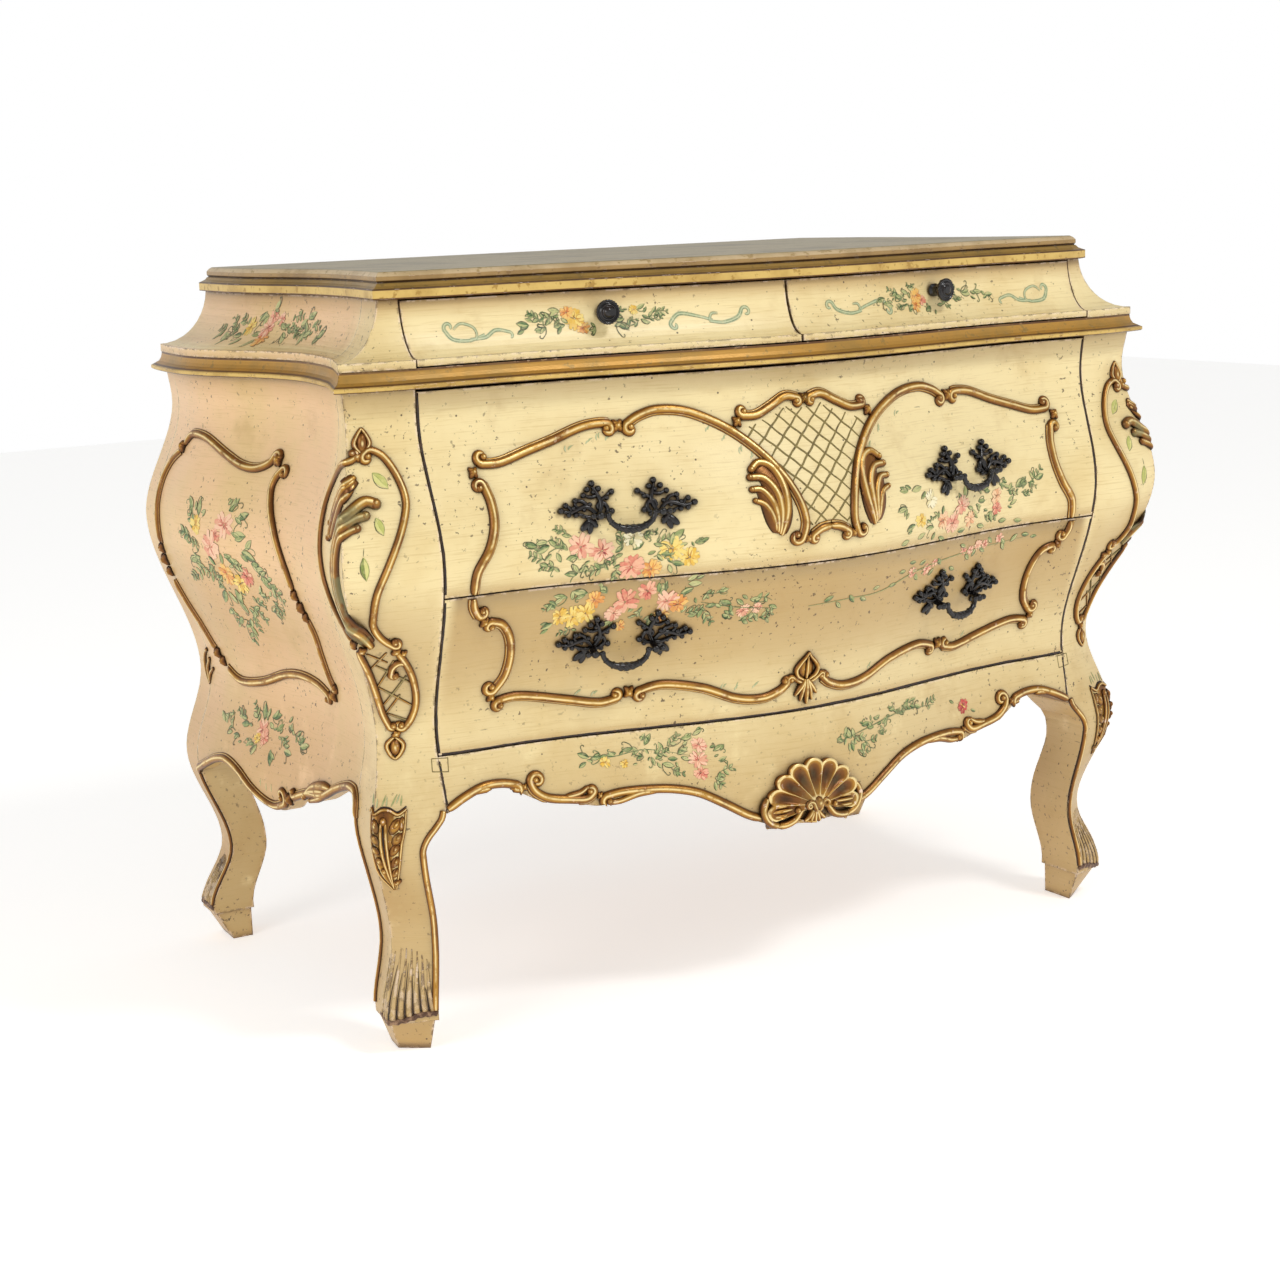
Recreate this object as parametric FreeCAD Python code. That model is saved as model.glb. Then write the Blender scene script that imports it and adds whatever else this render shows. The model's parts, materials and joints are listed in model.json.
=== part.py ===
"""Bombe chest: a serpentine case on four scrolled legs, with two small drawers in a coved
frieze above two deep drawers.

Millimetres, +Z up. Every piece is drawn with the back of the case at y = 0, the front
towards -Y and the centre of the front at x = 0. The whole chest is then moved along Y, so
that the origin ends on the floor under the middle of its bounding box.
"""
import FreeCAD, Part
import math
import os
from collections import namedtuple

V = FreeCAD.Vector

# ---- overall sizes at the neck, the straight band just under the waist moulding ----
half_width = 533.0          # centre plane to the front arris
front_depth = 599.0         # back to the front face beside the posts
arris_setback = 12.0        # the arris lies this far behind that face
rear_narrowing = 20.0       # the case is this much narrower at the back, each side

# ---- heights ----
foot_block_height = 38.0
foot_block_inset = 3.0      # the block is this much narrower than the foot all round
foot_edge_height = 45.0     # widest edge of the fan foot
ankle_height = 124.0
knee_height = 250.0
shin_rise = 42.0            # above the ankle
calf_drop = 15.0            # below the knee
apron_top = 334.0
lower_drawer_height = 182.0
upper_drawer_height = 223.0
waist_height = 21.0         # gilt moulding between the case and the frieze
frieze_height = 71.0
top_thickness = 29.0
pinch_above_apron = 21.0
belly_above_split = 42.0
neck_below_waist = 39.0

# ---- how far the faces swing out (+) and in (-) from the neck ----
arris_swing = {"floor": -57.0, "foot": -30.0, "ankle": -58.0, "knee": -15.0,
               "pinch": -46.0, "belly": 42.0, "waist": 7.0}
rear_swing = {"floor": -14.0, "foot": 9.0, "ankle": -24.0, "knee": 15.0,
              "pinch": -12.0, "belly": 45.0, "waist": 5.0}
front_swing = {"floor": -10.0, "foot": -9.0, "ankle": -8.0, "knee": -7.0,
               "pinch": -19.0, "belly": 34.0, "waist": 4.0}
bow_depth = {"knee": 58.0, "pinch": 60.0, "belly": 68.0, "waist": 45.0}
sag_depth = {"knee": 20.0, "pinch": 22.0, "belly": 36.0, "waist": 45.0}
bow_half_width = 383.0      # the bow of the front dies out here
corner_round = 103.0        # width of the front face that turns back to the arris

# ---- posts, legs and panels ----
post_width_top = 75.0       # face of the post beside the upper drawer
post_width_bottom = 90.0
post_return = 87.0          # depth of the post along the side
rear_post_depth = 48.0
rear_post_width = 75.0
leg_width = {"floor": 42.0, "foot": 52.0, "ankle": 43.0, "shin": 46.0, "calf": 54.0}
front_flare_drop = 15.0     # a leg starts to widen into its post this far below the knee:
side_flare_drop = 48.0      # seen from the front, from the side,
rear_flare_drop = 40.0      # and at the rear legs
flare_end_drop = 56.0       # and is as wide as the post this far below the apron's top
panel_thickness = 18.0
apron_thickness = 22.0
back_thickness = 12.0
board_thickness = 12.0
dust_board_thickness = 10.0
dust_board_drop = 1.0       # its top is this far below the split between the deep drawers
back_panel_drop = 44.0      # the back panel ends this far below the apron's top
shelf_setback = 8.0         # of the boards inside, behind the back face of the drawer fronts
seat_gap = 0.3              # glue line or seat between two pieces of the case

# ---- mouldings ----
waist_lip_height = 6.0
waist_lip_out = 24.0        # from the neck to the tip of the lip
waist_lip_round = 1.2       # height of the rounded edges of the lip
waist_step = 3.0            # ledge between the lip and the cove over it
waist_top_out = 9.0
waist_front_rail = 48.0     # from the front arris to the rail's inner edge
waist_side_rail = 78.0
frieze_foot_out = 8.0       # from the neck to the foot of the frieze
fillet_height = 9.0         # cream fillet at the foot of the frieze
fillet_out = 2.0
frieze_setback = 27.0       # how far the cove of the frieze goes back at the front
cove_side_share = 2.18      # the cove at the arris goes sideways this many times as far,
cove_rear_share = 2.3       # and this many times at the rear corner
cove_straight_share = 0.08  # of the cove's run, the part that is a straight slope
cove_bow_loss = 3.0         # the top of the cove bows this much less
cove_sag_loss = 0.55        # and its sides wave less by this share
frieze_floor_thickness = 18.0
top_lip_out = 8.0
top_bead_inset = 15.0

# ---- drawers ----
drawer_gap = 1.6            # joint round each drawer front
waist_shadow_gap = 4.0
front_thickness = 22.0
frieze_front_thickness = 18.0
drawer_side_thickness = 11.0
drawer_bottom_thickness = 7.0
drawer_back_clearance = 28.0
box_inset = 14.0            # from the end of a deep drawer's front to its side board
frieze_box_inset = 32.0     # the same for a frieze drawer, clear of the waving frieze side
box_rise = 6.0              # side boards start this far above the front's lower edge
box_drop = 16.0             # and end this far below its upper edge
frieze_box_drop = 5.0       # the same for a frieze drawer
bottom_rise = 4.0           # drawer bottom above the lower edge of the side boards
runner_gap = 0.4
runner_width = 30.0
runner_height = 12.0        # of the lower runners, above the bottom board
divider_thickness = 12.0
divider_setback = 8.0       # behind the frieze drawer fronts
divider_gap = 3.0           # between the divider and a frieze drawer's side board
frieze_drawer_travel = 330.0
deep_drawer_travel = 370.0

# ---- handles and knobs ----
handle_spread = 0.517       # handle centre, as a share of the deep drawer's half width
upper_handle_rise = 71.0    # pivot above the drawer split
lower_handle_drop = 77.0    # pivot below the drawer split
bail_span = 70.0            # between the two eye bolts
bail_drop = 17.0
bail_radius = 2.9
bail_swell = 4.3
bail_knuckle_radius = 3.4   # ball at each end of the bar, inside the eye
bail_ball_radius = 3.3      # ball on the end of each pin, outside the eye
bail_eye_gap = 0.6
pivot_standoff = 16.0
pin_radius = 2.0
pin_clearance = 0.06
eye_radius = 4.6
collar_radius = 3.8         # of the bolt between the eye and the plate
bolt_radius = 2.2
bolt_clearance = 0.2
bolt_end = 3.0              # the bolt stands out this far past its nut
nut_radius = 5.0
nut_thickness = 3.5
nut_gap = 0.5
plate_thickness = 2.6
bail_swing = 95.0
knob_radius = 13.5
knob_foot_radius = 7.5
knob_standoff = 24.0
knob_spread = 0.49          # knob centre, as a share of the frieze front's half width
knob_rise = 46.0            # above the waist moulding
knob_hole_depth = 12.0
screw_head_thickness = 2.5
screw_end_gap = 1.0

bounds_tolerance = 0.1      # of the mesh that the bounding box is read from
past_face = 200.0           # a cut starts this far off the face that it goes through
cut_margin = 5.0            # and runs this far past the edges of what it cuts
drill_margin = 20.0

# ---- applied mouldings ----
bead_width = 9.0
bead_height = 6.0
bead_lift = 0.3
bead_step = 12.0            # between the sections of its loft
bead_end_share = 0.55       # of its full size, where a bead ends
apron_bead_rise = 7.0       # above the lower edge of the apron
apron_bead_share = 0.985    # of the way to the post
shell_height = 16.0         # of the carving, out of the front
shell_half_width = 72.0
palmette_height = 9.0
palmette_half_width = 24.0

# ---- derived levels ----
split = apron_top + lower_drawer_height
waist = split + upper_drawer_height
frieze_bottom = waist + waist_height
frieze_top = frieze_bottom + frieze_height
pinch_height = apron_top + pinch_above_apron
belly_height = split + belly_above_split
neck_height = waist - neck_below_waist
arris_depth = front_depth - arris_setback
rear_half_width = half_width - rear_narrowing

Plan = namedtuple("Plan", "arris_x arris_y front rear bow sag")

# S-curve of the side in plan: (share of the way from the arris to the back, share of sag)
side_curve = [(0.0, 0.0), (0.2, -0.78), (0.36, -1.0), (0.5, -0.72), (0.66, 0.0),
              (0.78, 0.26), (0.9, 0.18), (1.0, 0.0)]

parts = {}


# ---------------------------------------------------------------- curves
def monotone(points):
    """A smooth curve through (position, value) points that never overshoots them."""
    xs = [p[0] for p in points]
    ys = [p[1] for p in points]
    steps = [b - a for a, b in zip(xs, xs[1:])]
    slopes = [(b - a) / h for a, b, h in zip(ys, ys[1:], steps)]
    tangents = [slopes[0]]
    for i in range(1, len(slopes)):
        if slopes[i - 1] * slopes[i] > 0:
            w1 = 2 * steps[i] + steps[i - 1]
            w2 = steps[i] + 2 * steps[i - 1]
            tangents.append((w1 + w2) / (w1 / slopes[i - 1] + w2 / slopes[i]))
        else:
            tangents.append(0.0)
    tangents.append(slopes[-1])

    def value(x):
        x = min(max(x, xs[0]), xs[-1])
        i = 0
        while i < len(steps) - 1 and x > xs[i + 1]:
            i += 1
        h = steps[i]
        t = (x - xs[i]) / h
        return ((2 * t ** 3 - 3 * t ** 2 + 1) * ys[i]
                + (t ** 3 - 2 * t ** 2 + t) * h * tangents[i]
                + (3 * t ** 2 - 2 * t ** 3) * ys[i + 1]
                + (t ** 3 - t ** 2) * h * tangents[i + 1])

    return value


def by_level(values, neck_value=0.0):
    """A curve up the case from values at named levels."""
    heights = {"floor": 0.0, "foot": foot_edge_height, "ankle": ankle_height,
               "shin": ankle_height + shin_rise, "calf": knee_height - calf_drop,
               "knee": knee_height, "pinch": pinch_height, "belly": belly_height,
               "neck": neck_height, "waist": waist}
    named = dict(values)
    if neck_value is not None:
        named["neck"] = neck_value
    return monotone(sorted((heights[name], v) for name, v in named.items()))


arris_at = by_level(arris_swing)
rear_at = by_level(rear_swing)
front_at = by_level(front_swing)
bow_at = by_level(bow_depth, None)
sag_at = by_level(sag_depth, None)
leg_at = by_level(leg_width, None)
side_shape = monotone(side_curve)

diagonal_x = 0.643          # direction in which the arris swings, in plan
diagonal_y = 0.766
arris_growth_x = 1.2        # the arris moves out more than the faces do, to keep them parallel
arris_growth_y = 0.95


def case_plan(z):
    swing = arris_at(z)
    return Plan(half_width + diagonal_x * swing, arris_depth + diagonal_y * swing,
                front_depth + front_at(z), rear_half_width + rear_at(z), bow_at(z), sag_at(z))


def grown(plan, out):
    """The same plan with its edge moved outwards."""
    return plan._replace(arris_x=plan.arris_x + diagonal_x * arris_growth_x * out,
                         arris_y=plan.arris_y + diagonal_y * arris_growth_y * out,
                         front=plan.front + out, rear=plan.rear + out)


neck_plan = Plan(half_width, arris_depth, front_depth, rear_half_width,
                 bow_depth["waist"], sag_depth["waist"])
frieze_foot_plan = grown(neck_plan, frieze_foot_out)


def frieze_plan(z):
    """Cove of the frieze: it rises from the waist almost flat, then turns upright."""
    rise = min(max((frieze_top - z) / (frieze_height - fillet_height), 0.0), 1.0)
    quarter_round = 1.0 - math.sqrt(max(1.0 - rise * rise, 0.0))
    share = 1.0 - quarter_round - cove_straight_share * (rise - quarter_round)
    back = frieze_setback * share
    foot = frieze_foot_plan
    return Plan(foot.arris_x - cove_side_share * back, foot.arris_y - back, foot.front - back,
                foot.rear - cove_rear_share * back, foot.bow - cove_bow_loss * share,
                foot.sag * (1.0 - cove_sag_loss * share))


def bow_share(x):
    return (1.0 + math.cos(math.pi * min(abs(x) / bow_half_width, 1.0))) / 2.0


def front_y(plan, x):
    turn_start = plan.arris_x - corner_round
    turn = min(max((abs(x) - turn_start) / corner_round, 0.0), 1.0)
    return -(plan.front + plan.bow * bow_share(x) - (plan.front - plan.arris_y) * turn ** 2)


def side_x(plan, y):
    share = min(max((y + plan.arris_y) / plan.arris_y, 0.0), 1.0)
    return (plan.arris_x + (plan.rear - plan.arris_x) * share
            + plan.sag * side_shape(share))


def front_normal(plan, x):
    step = 0.5
    slope = (front_y(plan, x + step) - front_y(plan, x - step)) / (2 * step)
    return V(slope, -1.0, 0.0).normalize()


def side_normal(plan, y):
    step = 0.5
    slope = (side_x(plan, y + step) - side_x(plan, y - step)) / (2 * step)
    return V(1.0, -slope, 0.0).normalize()


def front_point(plan, x, z, out=0.0):
    """Point straight in front of or behind the front face, at this distance from it."""
    return V(x, front_y(plan, x) + out / front_normal(plan, x).y, z)


def side_point(plan, y, z, out=0.0):
    """Point straight beside the right-hand side face, at this distance from it."""
    return V(side_x(plan, y) + out / side_normal(plan, y).x, y, z)


# ---------------------------------------------------------------- building blocks
def between(a, b, count):
    return [a + (b - a) * i / (count - 1.0) for i in range(count)]


def spline(points):
    curve = Part.BSplineCurve()
    curve.interpolate(points)
    return curve.toShape()


def line(a, b):
    return Part.LineSegment(a, b).toShape()


def ring(*runs):
    """Closed wire from runs of points: a run of two is a line, a longer one a spline."""
    edges = []
    for run in runs:
        edges.append(line(*run) if len(run) == 2 else spline(run))
    return Part.Wire(edges)


def loft(wires, ruled=False):
    solid = Part.makeLoft(wires, True, ruled)
    if solid.Volume < 0:
        solid.reverse()
    return solid


def box(low, high):
    """Box between two corners."""
    return Part.makeBox(high[0] - low[0], high[1] - low[1], high[2] - low[2], V(*low))


def mirrored(shape):
    return shape.mirror(V(0, 0, 0), V(1, 0, 0))


def both_sides(name, right_shape):
    parts[name + "_right"] = right_shape
    parts[name + "_left"] = mirrored(right_shape)


def front_slab(stack, x_low, x_high, out, thickness, count=15):
    """Board that follows the front face. x_low and x_high give its ends at a height."""
    wires = []
    for z, plan in stack:
        xs = between(x_low(z), x_high(z), count)
        outer = [front_point(plan, x, z, out) for x in xs]
        inner = [front_point(plan, x, z, out - thickness) for x in reversed(xs)]
        wires.append(ring(outer, [outer[-1], inner[0]], inner, [inner[-1], outer[0]]))
    return loft(wires)


def side_slab(stack, y_low, y_high, thickness, ruled=False, count=13):
    """Board that follows the right-hand side face between two depths."""
    wires = []
    for z, plan in stack:
        ys = between(y_low, y_high, count)
        outer = [side_point(plan, y, z) for y in ys]
        inner = [side_point(plan, y, z, -thickness) for y in reversed(ys)]
        wires.append(ring(outer, [outer[-1], inner[0]], inner, [inner[-1], outer[0]]))
    return loft(wires, ruled)


def corner_slab(stack, x_in, y_in, ruled=False, count=6):
    """Solid corner of the case: front face, arris, side face and two flat inner faces."""
    wires = []
    for z, plan in stack:
        face = [front_point(plan, x, z) for x in between(x_in(z), plan.arris_x, count)]
        flank = [V(side_x(plan, y), y, z) for y in between(-plan.arris_y, y_in(z), count)]
        flank[0] = face[-1]
        inner = V(x_in(z), y_in(z), z)
        wires.append(ring(face, flank, [flank[-1], inner], [inner, face[0]]))
    return loft(wires, ruled)


def full_plan_ring(plan, z, count=17):
    """Outline of a board that covers the whole case."""
    xs = between(-plan.arris_x, plan.arris_x, count)
    ys = between(-plan.arris_y, 0.0, count)
    face = [V(x, front_y(plan, x), z) for x in xs]
    right = [V(side_x(plan, y), y, z) for y in ys]
    left = [V(-p.x, p.y, z) for p in reversed(right)]
    right[0] = face[-1]
    left[-1] = face[0]
    return ring(face, right, [right[-1], left[0]], left)


# ---------------------------------------------------------------- case
def drawer_end(z):
    """Half width of the drawer space: the inner edge of the posts, leaning with height."""
    share = (z - apron_top) / (waist - apron_top)
    return half_width - post_width_bottom + (post_width_bottom - post_width_top) * share


def eased(share):
    """0 to 1 with a level start and end."""
    share = min(max(share, 0.0), 1.0)
    return share * share * (3.0 - 2.0 * share)


def flare(z, drop):
    """How far a leg has widened into its post at a height: 0 below the knee, 1 above."""
    low = knee_height - drop
    return eased((z - low) / (apron_top - flare_end_drop - low))


def post_inner_x(z):
    """Inner edge of the front post and leg, seen from the front."""
    leg = case_plan(z).arris_x - leg_at(z)
    return leg + (drawer_end(z) - leg) * flare(z, front_flare_drop)


def post_inner_y(z):
    """Inner edge of the front post and leg, seen from the side."""
    leg = leg_at(z) - case_plan(z).arris_y
    return leg + (-(arris_depth - post_return) - leg) * flare(z, side_flare_drop)


def post_levels():
    """Even heights up a leg and its post, close enough to carry every turn of the leg."""
    step = 11.0
    count = int(round((waist - foot_block_height) / step)) + 1
    return between(foot_block_height, waist, count)


def case_levels(low, high):
    """Heights close enough together to carry the swing of the case."""
    step = 27.0
    count = max(int(round((high - low) / step)), 2) + 1
    return between(low, high, count)


def case_stack(levels, out=0.0):
    return [(z, grown(case_plan(z), out)) for z in levels]


def front_post():
    post = corner_slab(case_stack(post_levels()), post_inner_x, post_inner_y, True)
    inner_x = post_inner_x(foot_block_height) + foot_block_inset      # upright inner faces
    inner_y = post_inner_y(foot_block_height) - foot_block_inset
    block = corner_slab(case_stack([0.0, foot_block_height], -foot_block_inset),
                        lambda z: inner_x, lambda z: inner_y, True)
    return post.fuse(block).removeSplitter()


def rear_inner_x(z):
    post = rear_half_width - rear_post_width
    leg = rear_half_width + rear_at(z) - leg_at(z)
    return leg + (post - leg) * flare(z, rear_flare_drop)


def rear_post_ring(z, inset=0.0):
    plan = grown(case_plan(z), -inset)
    ys = between(-rear_post_depth + inset, 0.0, 4)
    outer = [V(side_x(plan, y), y, z) for y in ys]
    inner = rear_inner_x(max(z, foot_block_height)) + inset           # upright inner face
    return ring(outer, [outer[-1], V(inner, 0.0, z)], [V(inner, 0.0, z), V(inner, ys[0], z)],
                [V(inner, ys[0], z), outer[0]])


def rear_post():
    post = loft([rear_post_ring(z) for z in post_levels()], True)
    block = loft([rear_post_ring(z, foot_block_inset) for z in (0.0, foot_block_height)], True)
    return post.fuse(block).removeSplitter()


# lower edge of the front apron: (share of the half width, height above the knee)
front_apron_edge = [(1.0, 18.0), (0.91, 39.0), (0.847, 42.0), (0.795, 33.0), (0.733, 18.0),
                    (0.655, 12.0), (0.591, 5.0), (0.53, 7.0), (0.463, 12.0), (0.402, 11.0),
                    (0.339, 5.0), (0.282, -7.0), (0.226, -22.0), (0.169, -36.0),
                    (0.102, -45.0), (0.0, -47.0)]

# lower edge of the side apron: (distance in front of the back, height above the knee)
side_apron_edge = [(28.0, -23.0), (73.0, -11.0), (114.0, 4.0), (146.0, 10.0), (187.0, 1.0),
                   (232.0, -23.0), (261.0, -29.0), (297.0, -21.0), (328.0, -2.0),
                   (354.0, 0.0), (383.0, 4.0), (413.0, 16.0), (455.0, 32.0), (504.0, 32.0)]


def cut_below(slab, edge, floor_z, sweep):
    """Cuts away what lies below a shaped lower edge, swept straight through the board."""
    first = V(edge[0].x, edge[0].y, floor_z)
    last = V(edge[-1].x, edge[-1].y, floor_z)
    face = Part.Face(ring(edge, [edge[-1], last], [last, first], [first, edge[0]]))
    return slab.cut(face.extrude(sweep))


def lowest(edge):
    return knee_height + min(rise for _, rise in edge) - cut_margin


def front_apron():
    low = lowest(front_apron_edge)
    slab = front_slab(case_stack(case_levels(low, apron_top)), lambda z: seat_gap - drawer_end(z),
                      lambda z: drawer_end(z) - seat_gap, 0.0, apron_thickness, 21)
    reach = drawer_end(apron_top)
    edge = [(-share * reach, rise) for share, rise in front_apron_edge]
    edge += [(share * reach, rise) for share, rise in reversed(front_apron_edge[:-1])]
    points = [V(x, -front_depth - past_face, knee_height + rise) for x, rise in edge]
    points[0].x = -reach - cut_margin
    points[-1].x = reach + cut_margin
    return cut_below(slab, points, low - cut_margin, V(0, 2.0 * past_face, 0))


def side_panel():
    low = lowest(side_apron_edge)
    front_end = -(arris_depth - post_return) + seat_gap
    rear_end = -rear_post_depth - seat_gap
    slab = side_slab(case_stack(case_levels(low, waist)), front_end, rear_end,
                     panel_thickness)
    points = [V(half_width - past_face, -depth, knee_height + rise)
              for depth, rise in side_apron_edge]
    return cut_below(slab, points, low - cut_margin, V(2.0 * past_face, 0, 0))


def make_case():
    both_sides("front_post", front_post())
    both_sides("rear_post", rear_post())
    both_sides("side_panel", side_panel())
    parts["front_apron"] = front_apron()
    inner = rear_half_width - rear_post_width - seat_gap
    parts["back_panel"] = box((-inner, -back_thickness, apron_top - back_panel_drop),
                              (inner, 0.0, frieze_top - seat_gap))
    rear = -back_thickness - seat_gap
    shelf_front = -(front_depth + front_swing["pinch"] - front_thickness - shelf_setback)
    bottom_top = lower_runner_top() - runner_height
    parts["bottom_board"] = box((-inner, shelf_front, bottom_top - board_thickness),
                                (inner, rear, bottom_top))
    dust_top = split - dust_board_drop
    parts["dust_board"] = box((-inner, shelf_front, dust_top - dust_board_thickness),
                              (inner, rear, dust_top))
    runners = []
    for bottom, height in ((bottom_top, lower_runner_top()), (dust_top, upper_runner_top())):
        runners.append(box((inner - runner_width, shelf_front, bottom), (inner, rear, height)))
    both_sides("drawer_runners", Part.makeCompound(runners))


def lower_runner_top():
    return apron_top + drawer_gap + box_rise - runner_gap


def upper_runner_top():
    return split + drawer_gap / 2.0 + box_rise - runner_gap


# ---------------------------------------------------------------- waist, frieze and top
def waist_profile():
    """(height, how far out of the neck) up the gilt moulding: lip, then a cove."""
    cove = []
    for share in between(0.0, 1.0, 5):
        z = waist + waist_lip_height + (waist_height - waist_lip_height) * share
        curve = 1.0 - math.sqrt(1.0 - (1.0 - share) ** 2)
        cove.append((z, waist_top_out + (waist_lip_out - waist_step - waist_top_out) * curve))
    return [(waist, waist_lip_out - 2.0), (waist + waist_lip_round, waist_lip_out),
            (waist + waist_lip_height - waist_lip_round, waist_lip_out)] + cove


def waist_inner_corner():
    """Where the inner edges of the front rail and the right-hand side rail meet."""
    return half_width - waist_side_rail, waist_front_rail - arris_depth


def waist_moulding():
    """Three mitred lengths: the front rail and the two side rails."""
    inner_x, inner_y = waist_inner_corner()
    front_wires = []
    side_wires = []
    for z, out in waist_profile():
        plan = grown(neck_plan, out)
        face = [V(x, front_y(plan, x), z) for x in between(-plan.arris_x, plan.arris_x, 21)]
        corners = [V(inner_x, inner_y, z), V(-inner_x, inner_y, z)]
        front_wires.append(ring(face, [face[-1], corners[0]], corners,
                                [corners[1], face[0]]))
        mitre = V(0, seat_gap, 0)
        flank = [V(side_x(plan, y), y, z) for y in between(-plan.arris_y, 0.0, 15)]
        flank[0] = flank[0] + mitre
        start = corners[0] + mitre
        rear = V(inner_x, 0.0, z)
        side_wires.append(ring(flank, [flank[-1], rear], [rear, start], [start, flank[0]]))
    side = loft(side_wires, True)
    return Part.makeCompound([loft(front_wires, True), side, mirrored(side)])


def frieze_end():
    """Half width of the frieze's drawer space."""
    return drawer_end(waist)


# heights above the fillet where the cove is drawn: it turns fastest near its foot
cove_levels = [0.4, 3.0, 8.0, 13.0, 18.0, 25.0]


def frieze_stack(low, high):
    """Plans up the frieze between two heights: the square fillet, then the cove."""
    shoulder = frieze_bottom + fillet_height
    foot = grown(frieze_foot_plan, fillet_out)
    upper = shoulder + cove_levels[-1]
    heights = [shoulder + rise for rise in cove_levels[:-1]] + between(upper, frieze_top, 5)
    inside = [z for z in heights if z < high - 1.0]
    return [(low, foot), (shoulder, foot)] + [(z, frieze_plan(z)) for z in inside + [high]]


def frieze_post():
    y_in = -(arris_depth - post_return)
    return corner_slab(frieze_stack(frieze_bottom, frieze_top), lambda z: frieze_end(),
                       lambda z: y_in, True)


def frieze_side():
    y_low = -(arris_depth - post_return) + seat_gap
    return side_slab(frieze_stack(frieze_bottom, frieze_top), y_low, 0.0,
                     panel_thickness, True)


# edge of the top, from below: (height above the frieze, how far out of its lip)
top_profile = [(0.0, -6.0), (1.0, 0.0), (11.0, 0.0), (12.0, -3.0), (14.0, -8.0), (17.0, -11.0),
               (17.6, 2.0 - top_bead_inset), (20.0, 4.0 - top_bead_inset),
               (24.0, 4.0 - top_bead_inset), (27.0, 1.0 - top_bead_inset),
               (top_thickness, -3.0 - top_bead_inset)]


def top_board():
    lip = grown(frieze_plan(frieze_top), top_lip_out)
    rings = [full_plan_ring(grown(lip, out), frieze_top + rise) for rise, out in top_profile]
    return loft(rings, True)


def make_frieze():
    parts["waist_moulding"] = waist_moulding()
    both_sides("frieze_post", frieze_post())
    both_sides("frieze_side", frieze_side())
    parts["top_board"] = top_board()
    corner_x, corner_y = waist_inner_corner()
    inner_x = corner_x - seat_gap
    inner_y = corner_y + seat_gap
    rear = -back_thickness - seat_gap
    parts["frieze_floor"] = box((-inner_x, inner_y, frieze_bottom - frieze_floor_thickness),
                                (inner_x, rear, frieze_bottom))
    half = divider_thickness / 2.0
    parts["frieze_divider"] = box((-half, inner_y + divider_setback, frieze_bottom),
                                  (half, rear, frieze_top))


# ---------------------------------------------------------------- drawers
def drawer_box(name, low, high, x_left, x_right, inner_face, rear):
    """Side boards, back and bottom of a drawer behind its front.

    inner_face(x, z) is the depth of the front's back face. Returns the clear space inside.
    """
    side = drawer_side_thickness
    edges = {"side_left": (x_left, x_left + side), "side_right": (x_right - side, x_right)}
    for board, (a, b) in edges.items():
        wires = []
        for z in case_levels(low, high):
            y = max(inner_face(a, z), inner_face(b, z)) + seat_gap
            corners = [V(a, y, z), V(b, y, z), V(b, rear, z), V(a, rear, z)]
            wires.append(Part.makePolygon(corners + corners[:1]))
        parts[name + "_" + board] = loft(wires)
    x_low = x_left + side + seat_gap
    x_high = x_right - side - seat_gap
    parts[name + "_back"] = box((x_low, rear - side, low), (x_high, rear, high))
    floor_low = low + bottom_rise
    floor_high = floor_low + drawer_bottom_thickness
    xs = between(x_low, x_high, 17)
    depth = [max(inner_face(x, floor_low), inner_face(x, floor_high)) + seat_gap for x in xs]
    front_run = [V(x, y, floor_low) for x, y in zip(xs, depth)]
    rear_y = rear - side - seat_gap
    rear_run = [V(x_high, rear_y, floor_low), V(x_low, rear_y, floor_low)]
    outline = ring(front_run, [front_run[-1], rear_run[0]], rear_run,
                   [rear_run[1], front_run[0]])
    parts[name + "_bottom"] = Part.Face(outline).extrude(V(0, 0, drawer_bottom_thickness))
    return clear_spaces(x_low, x_high, floor_high, high, rear_y, inner_face)


def clear_spaces(x_low, x_high, low, high, rear_y, inner_face):
    """Boxes of free space in a drawer: the whole width, then the bow in front of it."""
    edge = 2.0
    bow_share = 0.45

    def face(*xs):
        return max(inner_face(x, z) for x in xs for z in between(low, high, 7)) + edge

    middle = min(max(0.0, x_low), x_high)
    near = middle + (x_low - middle) * bow_share
    far = middle + (x_high - middle) * bow_share
    behind = face(x_low, x_high)
    whole = [[x_low + edge, behind, low + edge], [x_high - edge, rear_y - edge, high]]
    bow = [[near, face(near, far), low + edge], [far, behind, high]]
    return [whole, bow]


def deep_drawer(name, low, high):
    front = front_slab(case_stack(case_levels(low, high)), lambda z: drawer_gap - drawer_end(z),
                       lambda z: drawer_end(z) - drawer_gap, 0.0, front_thickness, 25)
    for bolt in handle_bolts(name):
        front = front.cut(bolt)
    parts[name + "_front"] = front

    def inner_face(x, z):
        return front_point(case_plan(z), x, z, -front_thickness).y

    half = drawer_end(low) - box_inset
    return drawer_box(name, low + box_rise, high - box_drop, -half, half, inner_face,
                      -back_thickness - drawer_back_clearance)


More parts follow.
